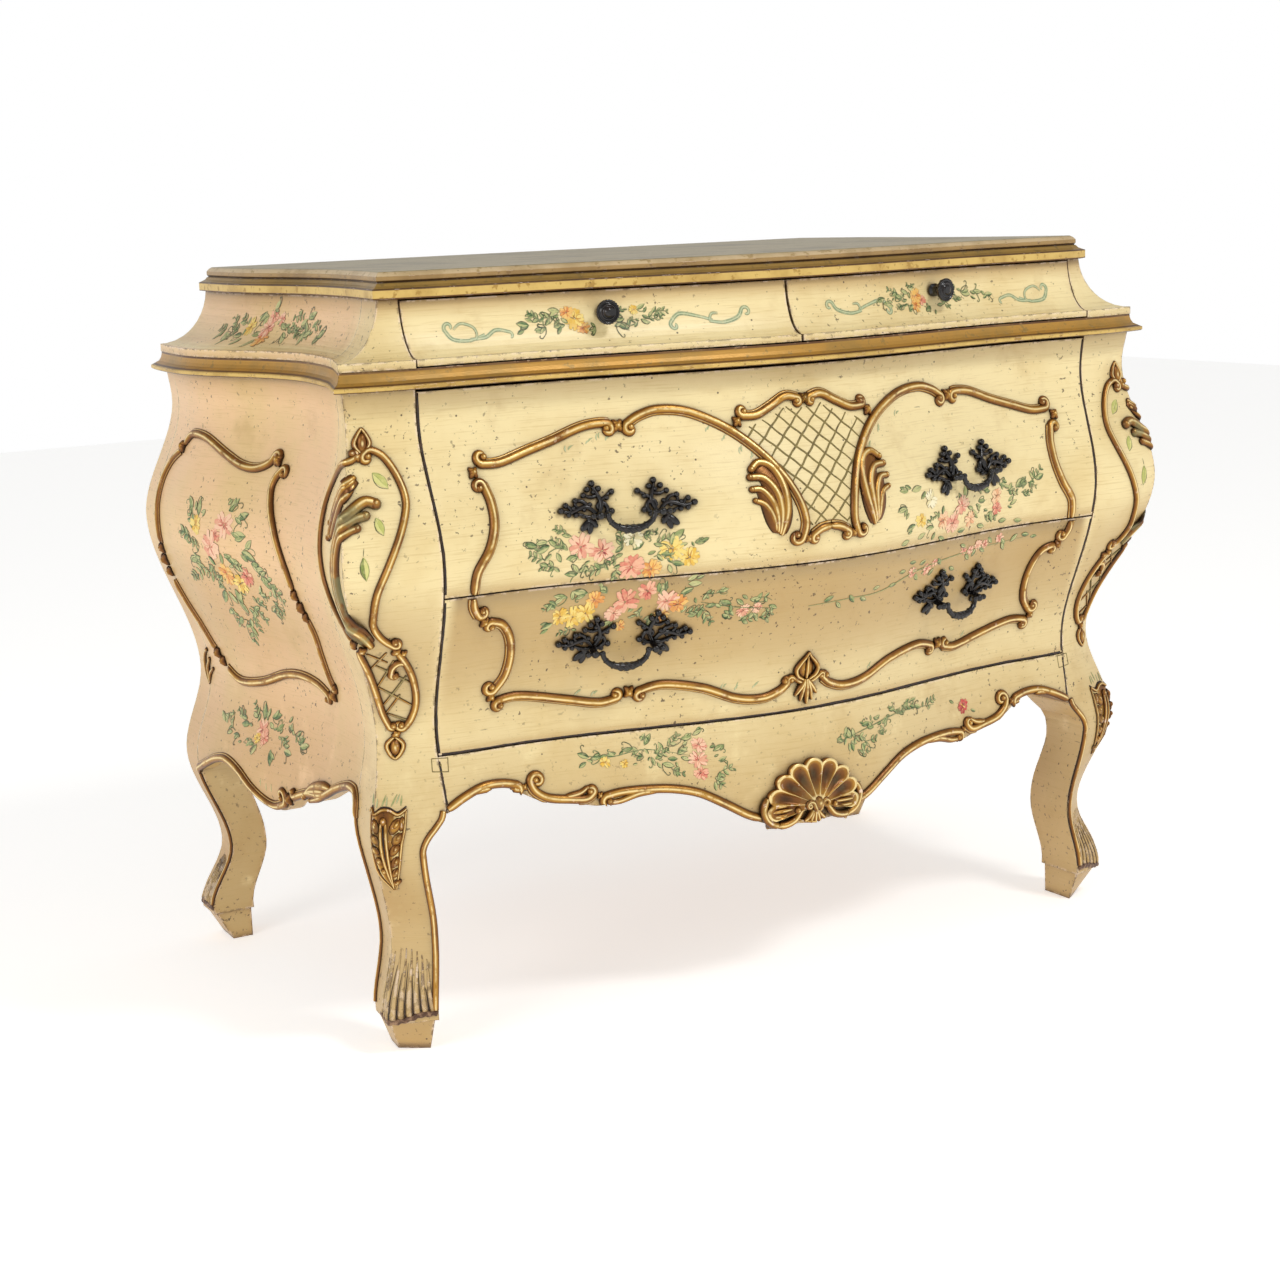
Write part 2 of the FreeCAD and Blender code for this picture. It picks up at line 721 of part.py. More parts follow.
def frieze_drawer(name, side):
    low = frieze_bottom + drawer_gap
    high = frieze_top - drawer_gap
    ends = sorted((side * drawer_gap, side * (frieze_end() - drawer_gap)))
    inner_plan = frieze_plan(frieze_top)

    def inner_face(x, z):
        return front_y(inner_plan, x) + frieze_front_thickness

    wires = []
    for z, plan in frieze_stack(low, high):
        xs = between(ends[0], ends[1], 13)
        outer = [V(x, front_y(plan, x), z) for x in xs]
        inner = [V(x, inner_face(x, z), z) for x in reversed(xs)]
        wires.append(ring(outer, [outer[-1], inner[0]], inner, [inner[-1], outer[0]]))
    front = loft(wires, True)
    knob, screw, bore = knob_pieces(side * knob_spread * frieze_end())
    parts[name + "_front"] = front.cut(bore)
    parts[name + "_knob"] = Part.makeCompound([knob, screw])
    near = divider_thickness / 2.0 + divider_gap
    far = frieze_end() - frieze_box_inset
    sides = sorted((side * near, side * far))
    return drawer_box(name, frieze_bottom + runner_gap, high - frieze_box_drop, sides[0],
                      sides[1], inner_face, -back_thickness - drawer_back_clearance)


# ---------------------------------------------------------------- knobs and handles
def rod(radius, length, start, direction):
    return Part.makeCylinder(radius, length, start, direction)


# profile of a turned knob: (radius, height over the drawer front)
knob_profile = [(0.0, 0.0), (knob_foot_radius, 0.0), (knob_foot_radius, 1.5), (5.0, 4.0),
                (4.6, 9.0), (7.0, 13.0), (knob_radius - 1.0, 15.5), (knob_radius, 18.0),
                (knob_radius - 1.0, 20.5), (9.0, 22.2), (4.0, knob_standoff),
                (0.0, knob_standoff)]


def knob_pieces(x):
    """Turned knob, its screw from inside the drawer and the hole that the screw needs."""
    z = frieze_bottom + knob_rise
    plan = frieze_plan(z - knob_foot_radius)
    base = front_point(plan, x, z, 2.0 * seat_gap)
    normal = front_normal(plan, x)
    origin = V(0, 0, 0)
    axis = V(0, 0, 1)
    bore_radius = bolt_radius + bolt_clearance
    outline = Part.makePolygon([V(r, 0, h) for r, h in knob_profile + knob_profile[:1]])
    knob = Part.Face(outline).revolve(origin, axis, 360)
    knob = knob.cut(rod(bore_radius, knob_hole_depth, origin, axis))
    place = FreeCAD.Placement(base, FreeCAD.Rotation(axis, normal))
    knob.Placement = place
    back = front_y(frieze_plan(frieze_top), x) + frieze_front_thickness + seat_gap
    depth = (back - base.y) / abs(normal.y)
    shank = rod(bolt_radius, depth + knob_hole_depth - screw_end_gap, axis * -depth, axis)
    head = rod(nut_radius, screw_head_thickness, axis * -depth, axis * -1)
    screw = shank.fuse(head).removeSplitter()
    screw.Placement = place
    bore = rod(bore_radius, depth + 2.0 * cut_margin, axis * -(depth + cut_margin), axis)
    bore.Placement = place
    return knob, screw, bore


def front_frame(x, z):
    """Point, outward normal and level direction on the front face of the case."""
    here = V(x, front_y(case_plan(z), x), z)
    step = 1.0
    along = V(2 * step, front_y(case_plan(z), x + step) - front_y(case_plan(z), x - step), 0)
    up = V(0, front_y(case_plan(z + step), x) - front_y(case_plan(z - step), x), 2 * step)
    normal = along.cross(up)
    return here, normal.normalize(), along.normalize()


def handle_frame(name, side):
    """Pivot centre, outward normal and pivot axis of one handle."""
    rise = upper_handle_rise if name == "upper_drawer" else -lower_handle_drop
    z = split + rise
    x = side * handle_spread * drawer_end(z)
    here, normal, along = front_frame(x, z)
    return here + normal * pivot_standoff, normal, along


def bolt_feet(name, side):
    """Pivot point of each eye bolt, and how far the drawer front lies behind it."""
    pivot, normal, along = handle_frame(name, side)
    feet = []
    for end in (-1, 1):
        eye = pivot + along * (end * bail_span / 2.0)
        reach = pivot_standoff
        for _ in range(20):
            foot = eye - normal * reach
            reach += (foot.y - front_y(case_plan(foot.z), foot.x)) * -abs(normal.y)
        feet.append((eye, reach, end))
    return feet


def handle_bolts(name):
    """Holes for the eye bolts through a drawer front."""
    holes = []
    for side in (-1, 1):
        normal = handle_frame(name, side)[1]
        for eye, reach, _ in bolt_feet(name, side):
            holes.append(rod(bolt_radius + bolt_clearance,
                             reach + front_thickness + drill_margin, eye, normal * -1))
    return holes


# outline of a cast plate round its bolt: outwards along the drawer, then up
plate_outline = [(-18.0, -9.0), (0.0, -7.0), (8.0, -16.0), (14.0, -6.0), (26.0, -3.0),
                 (44.0, 4.0), (46.0, 12.0), (30.0, 14.0), (18.0, 26.0), (8.0, 41.0),
                 (-2.0, 38.0), (-12.0, 28.0), (-14.0, 16.0), (-8.0, 8.0)]


def drilled(middle, direction, radius):
    """A hole of this radius, to both sides of a point."""
    return rod(radius, drill_margin, middle - direction * (drill_margin / 2.0), direction)


def handle(name, side, node):
    """Two cast plates with eye bolts and nuts, and the bail that swings in the eyes."""
    pivot, normal, along = handle_frame(name, side)
    up = normal.cross(along) * -1
    if up.z < 0:
        up = up * -1
    fittings = []
    for eye, reach, end in bolt_feet(name, side):
        outline = [(end * a, b) for a, b in plate_outline]
        depths = []
        for a, b in outline:
            p = eye + along * a + up * b - normal * reach
            depths.append((front_y(case_plan(p.z), p.x) - p.y) * abs(normal.y) * -1)
        lift = max(max(depths), 0.0) + seat_gap
        foot = eye - normal * (reach - lift)
        points = [foot + along * a + up * b for a, b in outline]
        face = Part.Face(Part.makePolygon(points + points[:1]))
        plate = face.extrude(normal * plate_thickness)
        fittings.append(plate.cut(drilled(foot, normal, bolt_radius + bolt_clearance)))
        shank = rod(bolt_radius, reach + front_thickness + nut_thickness + bolt_end, eye,
                    normal * -1)
        collar_length = reach - lift - plate_thickness - seat_gap
        collar = rod(collar_radius, collar_length, eye, normal * -1)
        ball = Part.makeSphere(eye_radius, eye)
        bolt = shank.fuse([collar, ball])
        bolt = bolt.cut(drilled(eye, along, pin_radius + pin_clearance))
        fittings.append(bolt.removeSplitter())
        nut_foot = eye - normal * (reach + front_thickness + nut_gap)
        nut = rod(nut_radius, nut_thickness, nut_foot, normal * -1)
        fittings.append(nut.cut(drilled(nut_foot, normal, bolt_radius + pin_clearance)))
    parts[node + "_plates"] = Part.makeCompound(fittings)
    parts[node + "_bail"] = bail(pivot, along)
    return pivot, along, finger_space(pivot)


def finger_space(pivot):
    """Free box behind the bail, between its bar and the drawer front."""
    half = bail_span / 6.0
    tall = bail_drop / 2.0
    edge = 1.0
    face = min(front_y(case_plan(pivot.z + dz), pivot.x + dx)
               for dx in (-half, half) for dz in (-bail_drop, bail_drop))
    return [[pivot.x - half, pivot.y - 2.5 * bail_swell, pivot.z - tall],
            [pivot.x + half, face - edge, pivot.z + tall]]


def bail(pivot, along):
    """Drop handle: a swelling bar between two pins that end in balls."""
    beside_eye = bail_span / 2.0 - eye_radius - bail_eye_gap
    inner = beside_eye - bail_knuckle_radius
    down = V(0, 0, -1)
    out = along.cross(down)
    wires = []
    for share in between(0.0, 1.0, 17):
        angle = math.pi * share
        centre = pivot - along * (inner * math.cos(angle)) + down * (bail_drop * math.sin(angle))
        tangent = along * (inner * math.sin(angle)) + down * (bail_drop * math.cos(angle))
        radius = bail_radius + (bail_swell - bail_radius) * math.sin(angle) ** 3
        across = tangent.normalize().cross(out)
        turns = [2.0 * math.pi * i / 10.0 for i in range(11)]
        rim = [centre + out * (radius * math.cos(a)) + across * (radius * math.sin(a))
               for a in turns]
        wires.append(Part.makePolygon(rim))
    bar = loft(wires, True)
    solids = []
    for end in (-1, 1):
        outer = bail_span / 2.0 + eye_radius + bail_eye_gap + bail_radius
        start = pivot + along * (end * inner)
        solids.append(rod(pin_radius, outer - inner, start, along * end))
        solids.append(Part.makeSphere(bail_knuckle_radius, start))
        solids.append(Part.makeSphere(bail_ball_radius, pivot + along * (end * outer)))
    return bar.fuse(solids).removeSplitter()


# ---------------------------------------------------------------- applied ornament
def path_curve(points):
    """Even points along a smooth curve through (u, v) points."""
    curve = Part.BSplineCurve()
    curve.interpolate([V(u, v, 0) for u, v in points])
    count = max(int(curve.length() / bead_step), 6)
    return [(p.x, p.y) for p in curve.discretize(count)]


def front_surface(x, z):
    return V(x, front_y(case_plan(z), x), z)


def side_surface(y, z):
    return V(side_x(case_plan(z), y), y, z)


def surface_normal(surface, u, v, outward):
    step = 1.0
    across = surface(u + step, v) - surface(u - step, v)
    up = surface(u, v + step) - surface(u, v - step)
    normal = across.cross(up).normalize()
    return normal if normal.dot(outward) > 0 else normal * -1


def bead(surface, outward, points):
    """Half-round moulding laid along a path on a face of the case, tapered at its ends."""
    samples = path_curve(points)
    count = len(samples)
    wires = []
    for i, (u, v) in enumerate(samples):
        before = samples[max(i - 1, 0)]
        after = samples[min(i + 1, count - 1)]
        along = surface(*after) - surface(*before)
        normal = surface_normal(surface, u, v, outward)
        across = normal.cross(along).normalize()
        swell = math.sin(math.pi * (i + 0.5) / count)
        taper = bead_end_share + (1.0 - bead_end_share) * swell
        foot = surface(u, v) + normal * bead_lift
        crown = foot + normal * (bead_height * taper)
        wide = across * (bead_width * taper / 2.0)
        narrow = across * (bead_width * taper / 4.0)
        corners = [foot - wide, foot + wide, crown + narrow, crown - narrow]
        wires.append(Part.makePolygon(corners + corners[:1]))
    return loft(wires)


# frame of the drawers, right half: (percent of the half width, mm above the split)
upper_frame = [
    [(91.0, 134.0), (88.5, 143.0), (84.5, 138.0), (75.0, 148.0), (68.0, 155.0),
     (57.0, 167.0), (52.0, 162.0)],
    [(49.5, 163.0), (42.0, 178.0), (31.0, 174.0), (22.0, 152.0), (13.5, 116.0),
     (8.5, 74.0), (7.5, 40.0), (10.0, 25.0), (13.0, 28.0)],
    [(88.0, 128.0), (87.0, 96.0), (87.5, 65.0), (93.0, 24.0), (93.5, 3.0)],
    [(1.2, 180.0), (5.0, 178.0), (9.0, 171.0), (14.0, 167.0), (18.5, 170.0)],
]
lower_frame = [
    [(93.5, -4.0), (93.0, -16.0), (92.0, -28.0)],
    [(89.0, -32.0), (83.0, -53.0), (81.5, -88.0), (84.0, -111.0), (86.5, -114.0)],
    [(83.5, -133.0), (77.5, -125.0), (65.5, -137.0), (53.0, -145.0), (47.5, -140.0)],
    [(46.0, -138.0), (40.0, -132.0), (30.0, -140.0), (19.0, -156.0), (9.5, -156.0),
     (5.5, -152.0)],
]

# frame of the side: (distance in front of the back, mm above the split)
side_frame = [
    [(94.0, 130.0), (105.0, 148.0), (161.0, 150.0), (215.0, 134.0)],
    [(222.0, 132.0), (245.0, 126.0), (288.0, 119.0), (314.0, 140.0), (340.0, 126.0)],
    [(342.0, 118.0), (323.0, 97.0), (350.0, 54.0), (373.0, 5.0), (381.0, -30.0),
     (400.0, -56.0)],
    [(392.0, -66.0), (383.0, -109.0), (366.0, -134.0)],
    [(360.0, -137.0), (302.0, -127.0), (229.0, -140.0)],
    [(222.0, -141.0), (152.0, -155.0), (93.0, -132.0), (82.0, -66.0)],
    [(78.0, -58.0), (53.0, -11.0), (62.0, 65.0), (38.0, 99.0), (88.0, 126.0)],
]

# corner cartouche: (distance from the arris, mm above the split), front then side
cartouche_front = [
    [(19.0, 162.0), (30.0, 154.0), (59.0, 129.0), (67.0, 99.0), (60.0, 69.0),
     (51.0, 49.0), (31.0, 19.0), (21.0, -14.0), (24.0, -39.0)],
    [(8.0, -49.0), (20.0, -69.0), (36.0, -101.0), (30.0, -131.0), (16.0, -153.0)],
]
cartouche_side = [
    [(6.0, 172.0), (10.0, 149.0), (16.0, 124.0), (22.0, 96.0), (23.0, 45.0),
     (14.0, -11.0), (8.0, -40.0)],
    [(8.0, -49.0), (18.0, -72.0), (26.0, -101.0), (22.0, -131.0), (12.0, -153.0)],
]


# right half of the carved bosses in the middle of the front: (out, height above the knee) and
# (out, height above the lower drawer's lower edge)
shell_half = [(0.0, 27.0), (26.0, 22.0), (42.0, 14.0), (58.0, -2.0), (68.0, -22.0), (58.0, -38.0),
              (30.0, -44.0), (0.0, -46.0)]
palmette_half = [(0.0, 58.0), (9.0, 40.0), (19.0, 26.0), (12.0, 8.0), (0.0, 2.0)]


def relief(right_half, datum, half_width_of_slab, height):
    """Carved boss in the middle of the front: an outline raised from the face."""
    outline = [(x, datum + rise) for x, rise in right_half]
    outline += [(-x, z) for x, z in reversed(outline) if x > 0.0]
    low = min(z for _, z in outline) - 1.0
    high = max(z for _, z in outline) + 1.0
    slab = front_slab(case_stack(case_levels(low, high)), lambda z: -half_width_of_slab,
                      lambda z: half_width_of_slab, bead_lift + height, height, 9)
    points = [V(x, -front_depth - past_face, z) for x, z in outline]
    face = Part.Face(Part.makePolygon(points + points[:1]))
    return slab.common(face.extrude(V(0, 2.0 * past_face, 0)))


def front_beads(runs):
    """Beads on the front from runs of (x, z), each with its mirror image."""
    out = V(0, -1, 0)
    beads = []
    for run in runs:
        for mirror in (-1, 1):
            beads.append(bead(front_surface, out, [(mirror * x, z) for x, z in run]))
    return beads


def side_beads(runs):
    """Beads on the right-hand side from runs of (y, z)."""
    return [bead(side_surface, V(1, 0, 0), run) for run in runs]


def make_ornament():
    reach = drawer_end(split) / 100.0
    for node, frame in (("upper_drawer_moulding", upper_frame),
                        ("lower_drawer_moulding", lower_frame)):
        runs = [[(u * reach, split + v) for u, v in run] for run in frame]
        parts[node] = Part.makeCompound(front_beads(runs))

    foot = knee_height + apron_bead_rise
    edge_reach = drawer_end(apron_top) * apron_bead_share
    front_edge = [(share * edge_reach, foot + rise) for share, rise in front_apron_edge[:14]]
    parts["apron_moulding"] = Part.makeCompound(front_beads([front_edge]))

    runs = [[(-d, split + v) for d, v in run] for run in side_frame]
    runs.append([(-d, foot + rise) for d, rise in side_apron_edge[1:13]])
    both_sides("side_mouldings", Part.makeCompound(side_beads(runs)))

    beads = []
    for run in cartouche_front:
        points = [(case_plan(split + v).arris_x - d, split + v) for d, v in run]
        beads.append(bead(front_surface, V(0, -1, 0), points))
    for run in cartouche_side:
        points = [(d - case_plan(split + v).arris_y, split + v) for d, v in run]
        beads += side_beads([points])
    both_sides("corner_cartouche", Part.makeCompound(beads))

    parts["shell"] = relief(shell_half, knee_height, shell_half_width, shell_height)
    parts["palmette"] = relief(palmette_half, apron_top + drawer_gap, palmette_half_width,
                               palmette_height)


# ---------------------------------------------------------------- assembly
def main():
    make_case()
    make_frieze()
    deep = {"lower_drawer": (apron_top + drawer_gap, split - drawer_gap / 2.0),
            "upper_drawer": (split + drawer_gap / 2.0, waist - waist_shadow_gap)}
    spaces = {}
    for name, (low, high) in deep.items():
        spaces[name] = deep_drawer(name, low, high)
    for name, side in (("frieze_drawer_left", -1), ("frieze_drawer_right", 1)):
        spaces[name] = frieze_drawer(name, side)
    pivots = {}
    for name in deep:
        for word, side in (("left", -1), ("right", 1)):
            node = "%s_handle_%s" % (name.split("_")[0], word)
            pivots[node] = handle(name, side, node)
    make_ornament()

    bounds = FreeCAD.BoundBox()
    for shape in parts.values():
        for corner in shape.tessellate(bounds_tolerance)[0]:
            bounds.add(corner)
    shift = V(0, -(bounds.YMin + bounds.YMax) / 2.0, 0)
    os.makedirs("parts", exist_ok=True)
    for node, shape in sorted(parts.items()):
        moved = shape.copy()
        moved.translate(shift)
        moved.exportStep("parts/%s.step" % node)
        print("%-28s %2d solids %10.0f mm3 valid %s"
              % (node, len(moved.Solids), moved.Volume, moved.isValid()))

    print("shift_y %.3f" % shift.y)
    print("size %.1f %.1f %.1f" % (bounds.XLength, bounds.YLength, bounds.ZLength))
    for name, boxes in spaces.items():
        for low, high in boxes:
            print("space", name, [round(v, 1) for v in low + high])
    for node, (pivot, along, (low, high)) in pivots.items():
        print("pivot", node, [round(v, 4) for v in pivot], [round(v, 6) for v in along])
        print("space", node, [round(v, 1) for v in low + high])
    foot = case_plan(0.0)
    centre = leg_width["floor"] / 2.0
    print("foot", round(foot.arris_x - centre, 1), round(centre - foot.arris_y, 1))
    print("travel", deep_drawer_travel, frieze_drawer_travel, bail_swing)


main()
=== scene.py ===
import json
import math
import random
import re
from functools import partial

import bpy
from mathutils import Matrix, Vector
from mathutils.bvhtree import BVHTree


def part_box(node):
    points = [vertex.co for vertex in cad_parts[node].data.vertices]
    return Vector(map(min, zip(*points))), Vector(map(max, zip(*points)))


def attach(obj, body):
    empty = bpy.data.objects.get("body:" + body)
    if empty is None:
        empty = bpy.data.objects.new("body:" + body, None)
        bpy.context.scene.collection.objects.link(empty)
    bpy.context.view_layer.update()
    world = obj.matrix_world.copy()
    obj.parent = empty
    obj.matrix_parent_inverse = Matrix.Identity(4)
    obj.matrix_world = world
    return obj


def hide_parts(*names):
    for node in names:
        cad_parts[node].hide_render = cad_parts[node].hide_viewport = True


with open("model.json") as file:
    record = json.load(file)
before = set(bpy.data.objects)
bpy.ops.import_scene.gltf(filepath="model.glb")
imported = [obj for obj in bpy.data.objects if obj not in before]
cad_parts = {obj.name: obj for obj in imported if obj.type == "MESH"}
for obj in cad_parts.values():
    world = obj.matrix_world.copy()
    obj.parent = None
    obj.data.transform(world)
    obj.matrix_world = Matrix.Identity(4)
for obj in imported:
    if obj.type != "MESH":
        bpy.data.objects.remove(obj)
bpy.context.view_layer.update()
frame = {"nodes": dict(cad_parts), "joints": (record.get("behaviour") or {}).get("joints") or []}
nodes = frame["nodes"]
joints = {joint["name"]: joint for joint in frame["joints"]}
hands = ((-1, "left"), (1, "right"))
mm = 0.001
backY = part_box("back_panel")[1].y / mm              # the rear face, in mm
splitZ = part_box("lower_drawer_front")[1].z / mm     # the joint between the deep drawers


def toLinear(hexColour):
    channels = [int(hexColour[i:i + 2], 16) / 255 for i in (1, 3, 5)]
    return (*[c / 12.92 if c <= 0.04045 else ((c + 0.055) / 1.055) ** 2.4 for c in channels], 1.0)


def perMetre(sizeInMm):
    return 1000.0 / sizeInMm    # pattern scale that gives features of that size


def addNode(tree, kind, inputs=None, **settings):
    node = tree.nodes.new(kind)
    for key, value in settings.items():
        setattr(node, key, value)
    for key, value in (inputs or {}).items():
        if isinstance(value, bpy.types.NodeSocket):
            tree.links.new(value, node.inputs[key])
        elif value is not None:
            node.inputs[key].default_value = value
    return node


def startMaterial(name):
    material = bpy.data.materials.new(name)
    material.use_nodes = True
    tree = material.node_tree
    tree.nodes.clear()
    return material, tree, addNode(tree, "ShaderNodeTexCoord").outputs["Object"]


def endMaterial(tree, looks):
    shader = addNode(tree, "ShaderNodeBsdfPrincipled", looks)
    addNode(tree, "ShaderNodeOutputMaterial", {"Surface": shader.outputs[0]})


def masked(tree, *masks):
    # masks multiplied together; a tuple is a smooth ramp: value, low and high level, result at the
    # high level (1 if left out) and at the low level (0 if left out)
    product = None
    for mask in masks:
        if isinstance(mask, tuple):
            value, low, high, atHigh, atLow = (*mask, *(1.0, 0.0)[len(mask) - 3:])
            mask = addNode(tree, "ShaderNodeMapRange", {0: value, 1: low, 2: high, 3: atLow, 4: atHigh},
                           interpolation_type="SMOOTHSTEP").outputs[0]
        if product is not None:
            mask = addNode(tree, "ShaderNodeMath", {0: product, 1: mask}, operation="MULTIPLY").outputs[0]
        product = mask
    return product


def layered(tree, finish, ground, layers):
    # lays colours over the ground, each where its masks are 1; a name is looked up in the finish
    def colourOf(shade):
        return toLinear(finish.get(shade, shade)) if isinstance(shade, str) else shade

    colour = colourOf(ground)
    for shade, *masks in layers:
        # sockets of a colour mix: 0 factor, 6 first colour, 7 second colour, result 2
        mix = {0: masked(tree, *masks), 6: colour, 7: colourOf(shade)}
        colour = addNode(tree, "ShaderNodeMix", mix, data_type="RGBA").outputs[2]
    return colour


def patches(tree, place, sizeInMm, low, high, detail=4.0, stretch=None):
    # soft-edged patches of about that size, 0 below the low threshold and 1 above the high one
    if stretch:
        place = addNode(tree, "ShaderNodeMapping", {"Vector": place, "Scale": stretch}).outputs[0]
    noise = addNode(tree, "ShaderNodeTexNoise",
                    {"Vector": place, "Scale": perMetre(sizeInMm), "Detail": detail, "Roughness": 0.6})
    return masked(tree, (noise.outputs[0], low, high))


def specks(tree, place, spacingInMm, radiusInMm, share, stretch=None):
    # scattered specks: one in each cell of a random grid, kept in that share of the cells
    if stretch:
        place = addNode(tree, "ShaderNodeMapping", {"Vector": place, "Scale": stretch}).outputs[0]
    cells = addNode(tree, "ShaderNodeTexVoronoi", {"Vector": place, "Scale": perMetre(spacingInMm)}).outputs
    edge = radiusInMm / spacingInMm
    pick = addNode(tree, "ShaderNodeSeparateColor", {0: cells["Color"]}).outputs[0]
    kept = addNode(tree, "ShaderNodeMath", {0: pick, 1: share}, operation="LESS_THAN").outputs[0]
    return masked(tree, (cells["Distance"], edge * 0.5, edge, 0.0, 1.0), kept)


def recess(tree, reachInMm, low, high):
    # 1 in corners and beside raised work, where the colour is darkened as painted shade and as old glazing and dirt
    shade = addNode(tree, "ShaderNodeAmbientOcclusion", {"Distance": reachInMm * mm}, samples=6)
    return masked(tree, (shade.outputs["AO"], low, high, 0.0, 1.0))


def roundedEdge(tree, radiusInMm):
    # the softened normal of an edge, and a mask that is 1 on it
    bevel = addNode(tree, "ShaderNodeBevel", {"Radius": radiusInMm * mm}, samples=4).outputs[0]
    plain = addNode(tree, "ShaderNodeNewGeometry").outputs["Normal"]
    match = addNode(tree, "ShaderNodeVectorMath", {0: bevel, 1: plain}, operation="DOT_PRODUCT")
    return bevel, masked(tree, (match.outputs["Value"], 0.995, 0.86))


def grained(tree, place, sizeInMm, detail, strength, gloss, normal=None, pits=None, depthInMm=0.5, roughness=0.5):
    # fine unevenness: a bump, and a roughness that varies with it between the two values of gloss
    grain = addNode(tree, "ShaderNodeTexNoise", {"Vector": place, "Scale": perMetre(sizeInMm), "Detail": detail,
                                                 "Roughness": roughness}).outputs[0]
    sheen = addNode(tree, "ShaderNodeMapRange", {0: grain, 3: gloss[0], 4: gloss[1]}).outputs[0]
    if pits:
        grain = addNode(tree, "ShaderNodeMath", {0: grain, 1: pits}, operation="SUBTRACT").outputs[0]
    bump = addNode(tree, "ShaderNodeBump", {"Strength": strength, "Distance": depthInMm * mm, "Height": grain,
                                            "Normal": normal})
    return {"Roughness": sheen, "Normal": bump.outputs[0]}


# Old oil paint on gesso, hand brushed and glazed: a satin ivory that has yellowed in clouds, with
# faint brush drag, fly specks and short scratches, and rubbed edges that show gesso and dark bole.
# The sides are painted warmer, less so near the front, partly the paint's own pinker tone and partly
# painted shade. Painted shade darkens the faces that look down, the lower parts and bands under the
# ledges, and beside the carving the colour is darkened as painted shade and as old glazing.
paintFinish = {
    "ground": "#efdba4", "warm": "#e9bf8f", "cloud": "#dbbf80", "tan": "#a9803f", "drag": "#b5924c",
    "speck": "#38230e", "glaze": "#553513", "gesso": "#f3ddc8", "bole": "#4a2c14", "rawWood": "#8d6a43",
    # height, reach, strength, half width and colour of the shade under each ledge
    "ledges": [(splitZ, 180.0, 0.58, 442.0, "tan"), (splitZ, 24.0, 0.4, 442.0, "glaze"),
               (831.0, 26.0, 0.75, 900.0, "tan"), (738.0, 34.0, 0.45, 900.0, "tan")],
}


def rawInside(tree, place, height):
    # 1 on faces that look towards the middle of the case, above the legs: bare timber there
    centre = addNode(tree, "ShaderNodeVectorMath", {0: place, 1: (1.0, 1.0, 0.0)}, operation="MULTIPLY")
    normal = addNode(tree, "ShaderNodeNewGeometry").outputs["Normal"]
    facing = addNode(tree, "ShaderNodeVectorMath", {0: centre.outputs[0], 1: normal}, operation="DOT_PRODUCT")
    inward = addNode(tree, "ShaderNodeMath", {0: facing.outputs["Value"], 1: -0.08}, operation="LESS_THAN")
    high = addNode(tree, "ShaderNodeMath", {0: height, 1: 0.27}, operation="GREATER_THAN")
    return masked(tree, inward.outputs[0], high.outputs[0])


